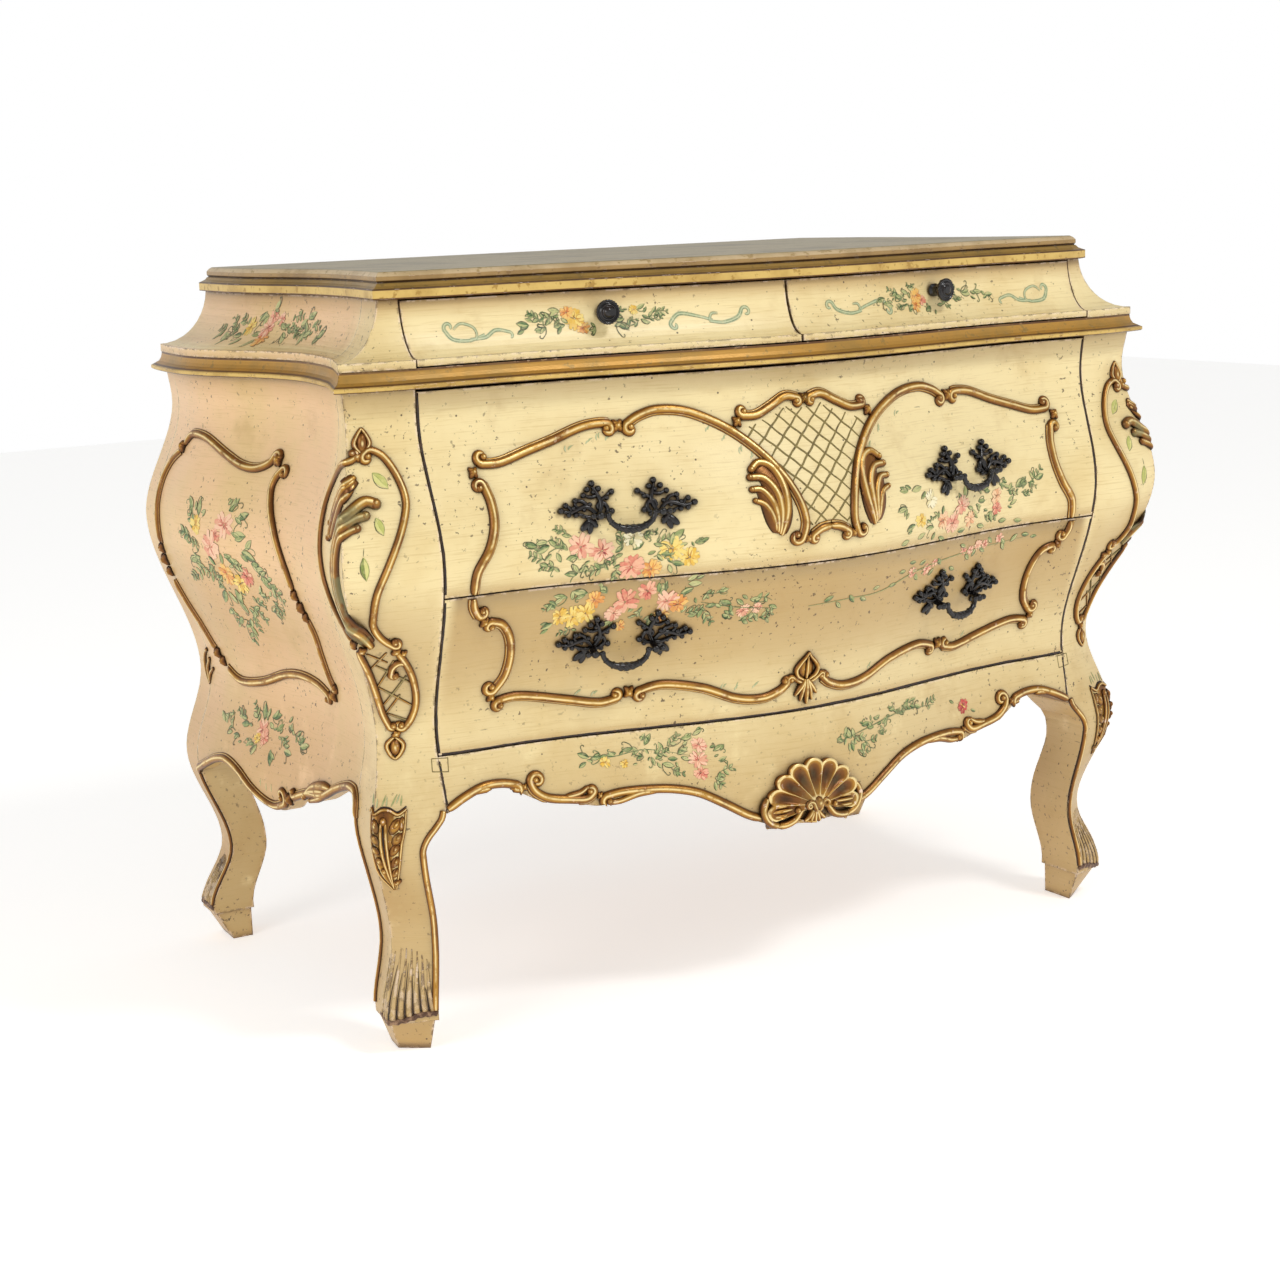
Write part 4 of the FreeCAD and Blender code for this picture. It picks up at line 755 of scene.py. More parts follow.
# Beads of the drawer frames, right half, as (x, z) in mm: points, curl at the start, curl at the
# end. A curl is (turn, radius, turns), turn 1 to the left and -1 to the right.
drawerFrames = {
    "upper_drawer": {
        "runs": [
            ([(236, 685), (246, 686), (268, 683), (303, 671), (334, 662), (366, 653), (388, 653)],
             (1, 6.5, 0.85), (1, 7.5, 0.8)),
            ([(216, 683), (200, 692), (176, 697), (140, 691), (97, 668), (62, 634), (41, 598), (33, 566),
              (38, 546)], (-1, 6.5, 0.85), (1, 8.0, 0.75)),
            ([(414, splitZ + 2.5), (411, 541), (396, 564), (387, 588), (386, 612), (391, 632)],
             None, (-1, 6.5, 0.8)),
            ([(8, 698), (24, 701), (45, 691), (64, 683), (81, 683)], (1, 4.5, 0.85), (1, 5.5, 0.85)),
            ([(0, 557), (13, 555), (24, 549)], None, (-1, 5.0, 0.9)),
        ],
        "knots": [(226, 682, 6.2), (400, 645, 5.4), (89, 677, 5.4), (0, 697, 5.6), (31, 546, 4.6)],
        # the leaves beside the lattice: their lobes, and the low bodies that these stand on
        "leaves": [
            ([(64, 552), (55, 580), (54, 606), (62, 626), (76, 632), (87, 625)], 1.15),
            ([(66, 554), (62, 580), (64, 600), (75, 615), (91, 617)], 1.1),
            ([(68, 556), (68, 577), (72, 592), (81, 603), (92, 604)], 1.0),
            ([(70, 558), (73, 574), (80, 587), (91, 592)], 0.85),
            ([(61, 556), (56, 575), (50, 588)], 0.7),
        ],
        "bodies": [[(65, 554), (62, 580), (65, 604), (77, 628)], [(67, 556), (70, 580), (80, 606)]],
    },
    "lower_drawer": {
        "runs": [
            ([(414, splitZ - 2.5), (413, 503), (407, 493)], None, (-1, 6.5, 0.8)),
            ([(390, 484), (376, 479), (365, 463), (361, 440), (365, 417), (377, 401)], (-1, 5.5, 0.8),
             (1, 7.5, 0.9)),
            ([(371, 389), (344, 391), (290, 380), (252, 372), (230, 375)], (-1, 6.5, 0.8), (-1, 5.5, 0.8)),
            ([(205, 381), (178, 386), (132, 377), (90, 360), (58, 356), (36, 362), (25, 370)],
             (-1, 6.5, 0.8), (-1, 4.0, 0.7)),
        ],
        "knots": [(399, 485, 5.2), (380, 395, 5.2), (217, 381, 6.0)],
    },
}


def leafBody(place, hand, points, width, finish):
    # the broad low body that the lobes of a leaf stand on
    body = sweptMesh([ribbon(place, points, (0.5, 1.0, 0.55), 0.0, 3.0, hand)], width, 3.4, finish)
    # less height on the shape: less painted highlight and more painted shade than its lobes
    for item in body.attributes["rise"].data:
        item.value *= 0.66
    return body


def acanthus(place, hand, lobes, width):
    # overlapping lobes that rise from one stem and curl over at their tips
    strands = [ribbon(place, points, (0.45, 1.0, 0.75), 0.6, hand=hand, scale=size) for points, size in lobes]
    tips = [budAt(place, hand * points[-1][0], points[-1][1], (width * size, width * size, width * size * 0.95), 1.2)
            for points, size in lobes]
    return strands, tips


def beadMesh(strands):
    return sweptMesh(strands, beadSize["halfWidth"], beadSize["rise"], giltCarved)


def makeDrawerBeads(name, values):
    place = onFront(name + "_front")
    strands, buds, leaves = [], [], []
    for hand, _ in hands:
        lines, ends = beadWork(place, hand, values["runs"], values["knots"])
        lobes, tips = acanthus(place, hand, values.get("leaves", []), 4.0)
        strands += lines
        leaves += lobes
        buds += ends + tips
    meshes = [beadMesh(strands), budMesh(buds, giltCarved)]
    if leaves:
        meshes.append(sweptMesh(leaves, 5.4, 4.6, giltCarved))
        meshes += [leafBody(place, hand, line, 15.0, giltCarved) for hand, _ in hands for line in values["bodies"]]
    asPiece(name + "_beads", meshes, name, [name + "_moulding"])


for name, values in drawerFrames.items():
    makeDrawerBeads(name, values)
print("drawer mouldings ready")

# Cartouche round each front corner, as (a, z): a is the distance from the arris, positive on the
# front and negative on the side.
cartouche = {
    "runs": [
        ([(17, 673), (24, 678), (38, 671), (53, 652), (64, 630), (66, 612), (60, 586), (48, 558), (33, 530),
          (26, 510), (22, 494), (27, 479), (37, 469)], (1, 5.5, 0.8), (1, 5.5, 0.75)),
        ([(10, 672), (2, 667), (-22, 663), (-58, 653), (-92, 636), (-112, 616), (-121, 592), (-122, 568),
          (-118, 550), (-106, 528), (-80, 506), (-42, 489), (-8, 477)], (1, 4.0, 0.6), None),
        ([(1, 466), (5, 440), (7, 414), (9, 389), (14, 372)], None, (1, 3.5, 0.6)),
        ([(38, 464), (44, 448), (47, 430), (46, 408), (42, 392), (35, 378), (28, 370)], None, (-1, 5.0, 0.9)),
        ([(45, 446), (38, 449), (30, 444), (26, 435)], None, (1, 3.4, 0.7)),
    ],
    "knots": [(11, 671, 4.6), (-4, 474, 5.0), (5, 467, 4.4), (38, 463, 4.6), (45, 460, 3.6), (20, 364, 4.4),
              (-116, 612, 3.2), (-113, 536, 3.0)],
    "plume": [
        ([(15, 470), (8, 484), (-6, 502), (-27, 520), (-37, 545), (-32, 574), (-10, 600), (8, 617), (21, 626),
          (33, 623)], 1.15),
        ([(8, 486), (-8, 508), (-26, 530), (-31, 552), (-24, 578), (-3, 599), (11, 609), (23, 612)], 1.0),
        ([(4, 494), (-12, 516), (-24, 538), (-24, 562), (-10, 584), (6, 597), (15, 600)], 0.85),
    ],
    "plumeBody": [(14, 474), (2, 492), (-14, 512), (-28, 532), (-30, 556), (-18, 582), (-2, 602)],
    "leaf": [
        ([(10, 652), (-2, 643), (-26, 631), (-52, 617), (-74, 598)], 1.0),
        ([(9, 648), (-8, 635), (-34, 619), (-60, 602), (-80, 582)], 1.0),
        ([(9, 644), (2, 632), (-14, 620), (-38, 604), (-62, 586)], 0.9),
    ],
    "leafBody": [(10, 650), (-6, 638), (-34, 620), (-64, 602), (-80, 584)],
    "lattice": [[(33, 452), (9, 420)], [(14, 447), (43, 424)], [(41, 432), (9, 396)], [(10, 421), (42, 394)],
                [(30, 410), (12, 388)], [(8, 462), (26, 450)], [(28, 462), (8, 444)], [(14, 388), (34, 378)]],
    # the leaf on top and the bell below: middle, height and size of the bud, outline to one side
    "ends": [(16, 685, (12, 5.6, 4.5), [(0, 674), (8, 684), (4, 695), (0, 701)]),
             (18, 349, (10, 6.0, 4.5), [(0, 361), (8, 352), (5, 341), (0, 336)])],
}


def makeCartouche(hand, word):
    place = onCorner(hand, "front_post_" + word, "side_panel_" + word)
    strands, buds = [], []
    for points, start, end in cartouche["runs"]:
        line, girth, ends = scrolled(points, start, end)
        strands.append(strand(place, line, girth, 0.3))
        buds += [budAt(place, a, z, beadSize["endBud"], 1.0) for a, z in ends]
    for a, z, radius in cartouche["knots"]:
        buds += [budAt(place, a, z, (radius * long, radius * wide, radius), 1.0, angle)
                 for long, wide, angle in ((1.5, 0.8, 0.5), (1.3, 0.7, 2.0))]
    buds += [budAt(place, middle, z, size, 0.5, math.pi / 2) for middle, z, size, _ in cartouche["ends"]]
    for side in (-1, 1):
        strands += [ribbon(place, [(middle + side * a, z) for a, z in outline], (0.4, 0.7, 0.4), 0.4)
                    for middle, _, _, outline in cartouche["ends"]]
    leaves, tips = acanthus(place, 1, cartouche["leaf"], 4.4)
    asPiece("cartouche_beads_" + word,
            [sweptMesh(strands, 4.4, 4.4, giltCarved), sweptMesh(leaves, 6.0, 5.0, giltCarved),
             budMesh(buds + tips, giltCarved), leafBody(place, 1, cartouche["leafBody"], 13.0, giltCarved)],
            "case", ["corner_cartouche_" + word])
    lines, tips = acanthus(place, 1, cartouche["plume"], 5.6)
    asPiece("cartouche_plume_" + word,
            [sweptMesh(lines, 7.4, 6.0, plumeGilt), budMesh(tips, plumeGilt),
             leafBody(place, 1, cartouche["plumeBody"], 14.0, plumeGilt)], "case")
    bars = [evenly(points, 3.0) for points in cartouche["lattice"]]
    cuts = [strand(place, line, tapered(len(line), 0.8, 1.1, 0.8), 0.3) for line in bars]
    asPiece("cartouche_lattice_" + word, [sweptMesh(cuts, 1.3, 1.4, plumeGilt, 6)], "case")


for hand, word in hands:
    makeCartouche(hand, word)
print("cartouches ready")

# Frame of the sides, as (depth from the rear face, z), and the bead along their lower edge, as
# (depth, rise above that edge).
sideFrame = {
    "runs": [
        ([(112, 652), (120, 660), (134, 666), (171, 663), (219, 647), (253, 636), (280, 634), (304, 641),
          (312, 651)], None, (-1, 8.0, 0.7)),
        ([(376, 503), (370, 530), (352, 566), (334, 594), (325, 614), (328, 628), (338, 637)],
         None, (-1, 6.5, 0.7)),
        ([(390, 468), (396, 452), (392, 428), (394, 405), (403, 388)], None, (1, 4.6, 0.55)),
        ([(104, 645), (80, 632), (66, 612), (64, 588), (67, 560), (62, 530)], None, None),
        ([(54, 480), (60, 455), (76, 427), (90, 404), (100, 394)], None, None),
        ([(126, 373), (150, 363), (175, 362), (217, 369), (267, 384), (310, 389), (350, 385), (378, 377)],
         None, (-1, 6.0, 0.7)),
    ],
    "knots": [(322, 645, 6.4), (377, 497, 5.6), (384, 483, 6.2), (389, 472, 5.4), (107, 649, 6.4),
              (60, 522, 5.4), (56, 507, 6.4), (54, 491, 5.4), (104, 390, 6.2), (115, 381, 5.6), (398, 379, 5.8)],
    "archStart": [(45, 228), (47.5, 233)],
    "arch": [(54, 4.5), (62, 4.5), (90, 4.5), (120, 4.5), (150, 4.5), (185, 4.5), (215, 4.5), (240, 4.5),
             (262, 4.5), (288, 8)],
    "apron": [(316, 5), (352, 8), (392, 6), (430, 5), (462, 4.5), (480, 4)],
    "apronEnd": [(491, 288.5), (498.5, 284), (503, 277), (506, 262)],
    "knot": [(303, 9)],
    "leaf": [([(414, 8), (390, 17), (362, 16), (346, 5)], 1.2), ([(400, 8), (376, 12), (352, 9), (342, 2)], 1.1),
             ([(400, 3), (378, 3), (358, 0)], 0.8)],
    "leafBody": [(400, 7), (370, 8), (348, 5)],
}


def makeSideBeads(hand, word):
    place = onSide(hand, "side_panel_" + word, "front_post_" + word, "rear_post_" + word)
    skin = skinOf("side_panel_" + word)

    def raised(spots):
        return [(depth, rim(lambda z: sideRay(hand, depth, z), skin, 320.0, 190.0) + rise)
                for depth, rise in spots]

    strands, buds = beadWork(place, 1, sideFrame["runs"], sideFrame["knots"])
    lines, ends = beadWork(place, 1, [
        (sideFrame["archStart"] + raised(sideFrame["arch"]), None, (1, 10.0, 1.0)),
        (raised(sideFrame["apron"]) + sideFrame["apronEnd"], (-1, 5.0, 0.6), None)],
        [(*raised(sideFrame["knot"])[0], 6.0)])
    leaf, tips = acanthus(place, 1, [(raised(spots), size) for spots, size in sideFrame["leaf"]], 4.0)
    asPiece("side_beads_" + word,
            [beadMesh(strands + lines + leaf), budMesh(buds + ends + tips, giltCarved),
             leafBody(place, 1, raised(sideFrame["leafBody"]), 9.0, giltCarved)],
            "case", ["side_mouldings_" + word])


def makeLegBeads(hand, word):
    post, rear = "front_post_" + word, "rear_post_" + word
    postSkin, rearSkin = skinOf(post), skinOf(rear)
    heights = range(50, 269, 8)
    inner = [(hand * (rim(lambda x: frontRay(hand * x, z), postSkin, 490.0, 400.0) + 3.4), z)
             for z in (*heights, 270, 276)]
    behind = [(rim(lambda depth: sideRay(hand, depth, z), postSkin, 570.0, 430.0) + 3.2, z) for z in heights]
    ahead = [(rim(lambda depth: sideRay(hand, depth, z), rearSkin, 22.0, 110.0) - 3.2, z)
             for z in range(50, 232, 8)]
    strands = [ribbon(onFront(post), inner, 1.0, 0.2, 3.0), ribbon(onSide(hand, post), behind, 0.9, 0.2, 3.0),
               ribbon(onSide(hand, rear), ahead, 0.9, 0.2, 3.0)]
    asPiece("leg_beads_" + word, [sweptMesh(strands, 3.9, 3.2, giltCarved)], "case")


for make in (makeSideBeads, makeLegBeads):
    for hand, word in hands:
        make(hand, word)
print("side mouldings ready")

# Bead along the apron, right half, as (x, rise above the apron's lower edge).
apronFrame = {
    "runs": [
        ([(440, 4), (420, 4), (395, 4), (372, 4), (354, 7)], None, (1, 7.0, 0.8)),
        ([(338, 16), (333, 9), (318, 5), (294, 4), (274, 7), (265, 15)], (1, 8.5, 1.1), (-1, 4.5, 0.8)),
        ([(251, 10), (232, 10), (202, 5), (172, 4), (142, 4), (112, 4), (86, 4), (68, 5)], (-1, 7.0, 0.8), None),
    ],
    "knots": [(346, 8), (258, 12)],
    "leaves": [([(412, 4), (388, 0), (362, -1), (352, 2)], 0.9), ([(300, 6), (282, 12), (272, 20)], 0.8),
               ([(186, 3), (212, 3), (234, 1), (246, 2)], 0.9)],
}


def makeApronBeads():
    place, skin = onFront("front_apron"), skinOf("front_apron")

    def raised(spots):
        return [(x, rim(lambda z: frontRay(x, z), skin, 320.0, 190.0) + rise) for x, rise in spots]

    runs = [(raised(spots), start, end) for spots, start, end in apronFrame["runs"]]
    knots = [(x, z, 3.6) for x, z in raised(apronFrame["knots"])]
    leaves = [(raised(spots), size) for spots, size in apronFrame["leaves"]]
    strands, buds = [], []
    for hand, _ in hands:
        lines, ends = beadWork(place, hand, runs, knots)
        leaf, tips = acanthus(place, hand, leaves, 3.6)
        strands += lines + leaf
        buds += ends + tips
    asPiece("apron_beads", [beadMesh(strands), budMesh(buds, giltCarved)], "case", ["apron_moulding"])


makeApronBeads()

shellShape = {"middle": (0, 226), "wide": 64, "tall": 53, "lobes": 9, "from": -18, "to": 198, "rim": 8.5,
              "scoop": 5.4, "boss": 15.0,
              "scroll": [(62, 240), (67, 226), (60, 211), (44, 205), (28, 209), (19, 220)]}


def makeShell():
    # a fan of hollow lobes between thin ridges, with a scalloped rim
    place, values = onFront("front_apron", "lower_drawer_front"), shellShape
    around, across = values["lobes"] * 12, 16
    points, rise = [], []
    for turn in range(around + 1):
        share = turn / around
        angle = math.radians(values["from"] + (values["to"] - values["from"]) * share)
        lobe = abs((share * values["lobes"]) % 1.0 * 2 - 1)   # 0 in the middle of a lobe, 1 on a ridge
        for ring in range(across + 2):
            outwards = min(ring / across, 1.0)
            reach = (0.14 + 0.86 * outwards) * (1.0 - 0.13 * lobe ** 2.2)
            hollow = math.sin(math.pi * min(outwards * 1.06, 1.0) ** 1.5) * (1 - lobe ** 2.5)
            height = values["boss"] + (values["rim"] - values["boss"]) * outwards ** 0.7
            height -= values["scoop"] * hollow
            point, normal = place(values["middle"][0] + values["wide"] * reach * math.cos(angle),
                                  values["middle"][1] + values["tall"] * reach * math.sin(angle))
            points.append(point + normal * ((height if ring <= across else -1.0) * mm))
            # darker in the hollow of each lobe: painted shade in the scoops
            rise.append(0.2 + 0.8 * (1 - hollow) if ring <= across else 0.0)
    stride = across + 2
    faces = [(first, first + 1, first + stride + 1, first + stride)
             for turn in range(around) for first in range(turn * stride, turn * stride + across + 1)]
    strands, buds = [], []
    for hand, _ in hands:
        line, girth, ends = scrolled(values["scroll"], None, (-1, 7.0, 0.9), 2.5, hand)
        strands.append(strand(place, line, [1.25 * g for g in girth], 4.0))
        buds += [budAt(place, a, z, (4.5, 4.5, 5.0), 9.0) for a, z in ends]
        for level in (216, 222, 228):
            flute = evenly([(hand * 57, level), (hand * 26, level + 1)], 3.0)
            strands.append(strand(place, flute, tapered(len(flute), 0.4, 0.75, 0.4), 5.0))
        curl, girth, _ = scrolled([(2, 218), (6, 228)], None, (-1, 5.5, 1.0), 2.0, hand)
        strands.append(strand(place, curl, [0.9 * g for g in girth], 13.0))
        for reach, low in ((14, 206), (7, 202)):
            outer = [(1, 222), (reach * 0.5, 212), (reach, low)]
            strands.append(ribbon(place, outer, (0.6, 1.0, 0.6), 5.0, hand=hand))
    strands.append(ribbon(place, [(0, 224), (0, 212), (0, 201)], (0.6, 1.0, 0.6), 5.5))
    buds.append(budAt(place, 0, 228, (9, 7, 9), 11.0, math.pi / 2))
    asPiece("shell_carving", [plainMesh("fan", points, faces, kneeGilt, rise),
                              sweptMesh(strands, 3.8, 4.4, kneeGilt), budMesh(buds, kneeGilt)],
            "case", ["shell"])


makeShell()


def makePalmette():
    # a pointed leaf with a raised rim over a fluted skirt, between two small scrolls
    place = onFront("lower_drawer_front")
    strands, buds = [], []
    for hand, _ in hands:
        strands.append(ribbon(place, [(3, 371), (12, 377), (15, 385), (10, 393), (4, 399), (0, 405)],
                              (0.7, 1.15, 0.6), 2.0, 2.0, hand))
        curl, girth, ends = scrolled([(5, 368), (13, 372), (19, 377)], None, (-1, 4.4, 0.85), 2.0, hand)
        strands.append(strand(place, curl, [1.2 * g for g in girth], 1.6))
        buds += [budAt(place, a, z, (4.44, 4.44, 4.44), 1.8) for a, z in ends]
        strands += [ribbon(place, [(1, 372), (a * 0.5, 363), (a, z)], (0.8, 1.5, 0.6), 2.0, 2.0, hand)
                    for a, z in ((15, 353), (8, 346))]
    strands.append(ribbon(place, [(0, 372), (0, 386), (0, 400)], (0.6, 1.0, 0.4), 2.2, 2.0))
    strands.append(ribbon(place, [(0, 372), (0, 358), (0, 342)], (0.9, 1.6, 0.6), 2.5, 2.0))
    buds.append(budAt(place, 0, 384, (15, 11, 2.6), 0.0, math.pi / 2))
    asPiece("palmette_carving", [sweptMesh(strands, 2.6, 3.4, giltCarved), budMesh(buds, giltCarved)],
            "lower_drawer", ["palmette"])


makePalmette()
print("apron, shell and palmette ready")

# Knee carving and fan foot of a front leg, as (a, z) from the arris.
kneePanel = {
    "top": 281.0, "low": 192.0,
    "outline": [(281, -8, 33), (262, -7, 32), (245, -5, 28), (226, -2, 24), (208, 3, 19), (192, 11, 14)],
    "crest": [(-9, 282), (-6, 286), (0, 280), (7, 284), (15, 283), (24, 278), (33, 283)],
    "lobes": [(22, 266, 15, 8.5, 1.0), (24, 252, 12, 8.0, 0.9), (20, 240, 12, 7.5, 0.9), (19, 226, 11, 7.0, 0.9),
              (17, 213, 10, 6.5, 0.9), (16, 201, 9, 5.5, 0.5), (1, 268, 12, 6.0, 1.8), (0, 254, 10, 6.0, 2.1),
              (0, 242, 9, 5.5, 2.1), (3, 229, 8, 5.0, 2.1), (6, 216, 7, 4.0, 2.1), (29, 268, 12, 5.0, 1.5)],
}
foot = {"flutes": 9, "low": 50.0, "high": 106.0, "from": -22.0, "to": 46.0, "topFrom": -6.0, "topTo": 32.0,
        "dip": 7.0}


def makeKnee(place, hand, word):
    rows, columns = 18, 10
    points, faces, rise = [], [], []
    for row in range(rows + 1):
        z = kneePanel["top"] + (kneePanel["low"] - kneePanel["top"]) * row / rows
        left, right = (between(kneePanel["outline"], z, 0, side) for side in (1, 2))
        for column in range(columns + 1):
            across = column / columns
            a = left + (right - left + 0.4) * across
            top = between(kneePanel["crest"], a, 0, 1) - kneePanel["top"] if row == 0 else 0.0
            point, normal = place(a, z + top)
            points.append(point + normal * (0.5 * mm))
            # darker down the middle of the flat panel: painted shade of a hollow
            rise.append(0.97 - 0.55 * math.exp(-((across - 0.42) / 0.16) ** 2))
    for row in range(rows):
        for column in range(columns):
            first = row * (columns + 1) + column
            quad = (first, first + columns + 1, first + columns + 2, first + 1)
            faces.append(quad if hand < 0 else quad[::-1])
    strands, buds = [], [budAt(place, 9, 272, (5.5, 4.5, 3.6), 0.8, math.pi / 2)]
    for side, column in ((-1, 1), (1, 2)):
        rib = [(9 + side * 2.4, 270), (9 + side * 2.8, 250), (10 + side * 2.2, 225), (12, 194)]
        edge = [(row[column], row[0]) for row in kneePanel["outline"]]
        strands += [ribbon(place, rib, (0.7, 1.0, 0.4), 1.0), ribbon(place, edge, (0.5, 0.8, 0.4), 0.5)]
    strands.append(ribbon(place, kneePanel["crest"], 0.8, 0.8, 2.0))
    for a, z, length, width, angle in kneePanel["lobes"]:
        buds.append(budAt(place, a, z, (length * 0.74, width * 0.72, 3.4), 0.0, angle))
        buds.append(budAt(place, a + 1, z + 2, (length * 0.46, width * 0.34, 4.6), 0.6, angle))
    asPiece("knee_carving_" + word, [plainMesh("panel", points, faces, kneeGilt, rise),
                                     sweptMesh(strands, 2.6, 2.8, kneeGilt), budMesh(buds, kneeGilt)],
            "case")


def footPieces(name, word, ridges, gaps, edge, sizes):
    # the three painted pieces of a fluted foot: ridges, worn edge, and dark gaps, which are painted
    # shade between the ridges, and on a front foot also carry the dark lines over the knee
    asPiece(name + "_flutes_" + word, [sweptMesh(ridges, *sizes[0], ivoryPaint, 8)], "case")
    asPiece(name + "_edge_" + word, [sweptMesh(edge, *sizes[1], boleEdge, 8)], "case")
    asPiece(name + "_gaps_" + word, [sweptMesh(gaps, 0.9, 0.6, jointAndShadePaint, 6)], "case")


def fluted(place, flutes, lineAt):
    # ridges at whole numbers and gaps half way between them, thick at the edge and fading upwards;
    # the gaps are drawn as dark lines of painted shade
    ridges, gaps = [], []
    for number in range(flutes):
        for middle, target, lift in ((0.0, ridges, 0.0), (0.5, gaps, 0.3)):
            share = (number + middle) / (flutes - 1)
            if share <= 1.0:
                line = smoothLine(lineAt(number, middle, share), 3.0)
                girth = [1.0 - 0.85 * n / (len(line) - 1) for n in range(len(line))]
                target.append(strand(place, line, girth, lift))
    return ridges, gaps


def makeKneeAndFoot(hand, word):
    place = onCorner(hand, "front_post_" + word)
    makeKnee(place, hand, word)

    def dipAt(a):
        # the edge of the foot hangs lowest at the arris
        return foot["dip"] * max(0.0, math.sin(math.pi * (a - foot["from"] + 12) / 66))

    def lineAt(number, middle, share):
        low = foot["from"] + (foot["to"] - foot["from"]) * share
        high = foot["topFrom"] + (foot["topTo"] - foot["topFrom"]) * share
        top = foot["high"] + 12.0 * math.sin(math.pi * share)
        top -= (26.0 if number % 2 else 16.0) if middle else 0.0
        return [(low, foot["low"] - dipAt(low)), (low * 0.55 + high * 0.45, 72), (high, top)]

    ridges, gaps = fluted(place, foot["flutes"], lineAt)
    # a dark line along the crest of the knee, and down its middle a dark line that is painted shade of a hollow
    dark = [ribbon(place, [(a, z + 3.0) for a, z in kneePanel["crest"]], 1.0, 0.15, 2.0),
            ribbon(place, [(9, 266), (9, 250), (10, 225), (12, 197)], (0.7, 1.4, 0.4), 1.5)]
    spread = [foot["from"] - 4 + (foot["to"] - foot["from"] + 8) * n / 40 for n in range(41)]
    wavy = [(a, foot["low"] - 3.2 - dipAt(a) - 1.2 * math.cos(n / 40 * math.tau * 9)) for n, a in enumerate(spread)]
    footPieces("foot", word, ridges, dark + gaps, [strand(place, wavy, [1.0] * len(wavy))], ((3.5, 2.6), (3.4, 2.4)))


def makeRearFoot(hand, word):
    place = onSide(hand, "rear_post_" + word, "side_panel_" + word)

    def lineAt(number, middle, share):
        return [(3 + 42 * share, 50), (8 + 32 * share, 72), (12 + 24 * share, 100 + 8 * math.sin(math.pi * share))]

    ridges, gaps = fluted(place, 7, lineAt)
    wavy = [(1 + 46 * n / 30, 46.4 - 1.5 * math.cos(n / 30 * math.tau * 6)) for n in range(31)]
    footPieces("rear_foot", word, ridges, gaps, [strand(place, wavy, [1.0] * len(wavy))], ((3.2, 2.4), (3.2, 2.2)))
    lines, tips = acanthus(place, 1, [
        ([(46, 340), (34, 352), (30, 366), (40, 380), (52, 386)], 0.8), ([(46, 341), (50, 354), (62, 362)], 0.7),
        ([(46, 342), (42, 360), (54, 374)], 0.8)], 3.0)
    asPiece("rear_leaf_" + word, [sweptMesh(lines, 4.4, 4.0, kneeGilt), budMesh(tips, kneeGilt)], "case")


for make in (makeKneeAndFoot, makeRearFoot):
    for hand, word in hands:
        make(hand, word)
print("legs carved")

# Dark lines along the joints of the drawers and the apron, and the tenon that shows at each post.
# upright: (x inside, x outside, low z, high z); level: (z inside, z outside, low x, high x)
jointLine = {"halfWidth": 1.3, "rise": 0.4, "inset": 0.8}


def makeJointLines(name, node, body, upright, level=()):
    skin, place = skinOf(node), onFront(node)
    strands = []
    random.seed(len(name))
    for lines, steps, standing, widths in ((upright, 24, True, (0.75, 1.25)), (level, 60, False, (0.7, 1.2))):
        for within, beyond, low, high in lines:
            inset = jointLine["inset"] * (1 if beyond > within else -1)
            line = []
            for step in range(steps + 1):
                at = low + (high - low) * step / steps
                edge = rim(lambda spot: frontRay(spot, at) if standing else frontRay(at, spot), skin, within, beyond)
                line.append((edge - inset, at) if standing else (at, edge - inset))
            strands.append(strand(place, line, [random.uniform(*widths) for _ in line]))
    lines = sweptMesh(strands, jointLine["halfWidth"], jointLine["rise"], jointAndShadePaint, 6)
    asPiece(name, [lines], body)


makeJointLines("upper_drawer_joints", "upper_drawer_front", "upper_drawer",
               [(hand * 350, hand * 520, 521, 734) for hand, _ in hands])
makeJointLines("lower_drawer_joints", "lower_drawer_front", "lower_drawer",
               [(hand * 350, hand * 520, 338, 512) for hand, _ in hands], [(400, 300, -438, 438)])
makeJointLines("apron_joints", "front_apron", "case", [(hand * 400, hand * 480, 282, 329) for hand, _ in hands])


def makeTenon(hand, word):
    place = onFront("front_post_" + word, "front_apron")
    corners = mirrored([(450, 333), (432, 332), (433, 317), (451, 319), (450, 333)], hand)
    lines = [evenly(pair, 3.0) for pair in zip(corners, corners[1:])]
    strands = [strand(place, line, [1.0] * len(line), 0.1) for line in lines]
    peg = budAt(place, hand * 441, 325, (1.2, 1.2, 0.6), 0.1)
    asPiece("tenon_" + word, [sweptMesh(strands, 0.5, 0.3, oliveLine, 6), budMesh([peg], oliveLine)],
            "case")


for hand, word in hands:
    makeTenon(hand, word)
print("joints drawn")

lattice = {"pitch": 15.5, "edge": [(97, 668), (60, 632), (37, 590), (33, 556)], "low": 559.0,
           "crown": [(0, 692), (24, 693), (45, 685), (64, 678), (97, 668)]}


def makeLattice():
    place = onFront("upper_drawer_front")

    def inside(a, z):
        return (z > lattice["low"] and abs(a) < between(lattice["edge"], z, 1, 0) - 2
                and z < between(lattice["crown"], abs(a), 0, 1) - 3)

    strands = []
    random.seed(5)
    for slope in (-1, 1):
        for number in range(-14, 15):
            shift = number * lattice["pitch"] * 1.414 + random.uniform(-1.2, 1.2)
            line = [(a, 625 + shift + slope * a * 0.92) for a in range(-180, 181, 3)]
            line = [(a, z + 0.5 * math.sin(a * 0.35)) for a, z in line if inside(a, z)]
            if len(line) > 2:
                strands.append(strand(place, line, tapered(len(line), 0.7, 1.1, 0.7)))
    asPiece("lattice_lines", [sweptMesh(strands, 1.15, 0.7, oliveLine, 6)], "upper_drawer")


makeLattice()


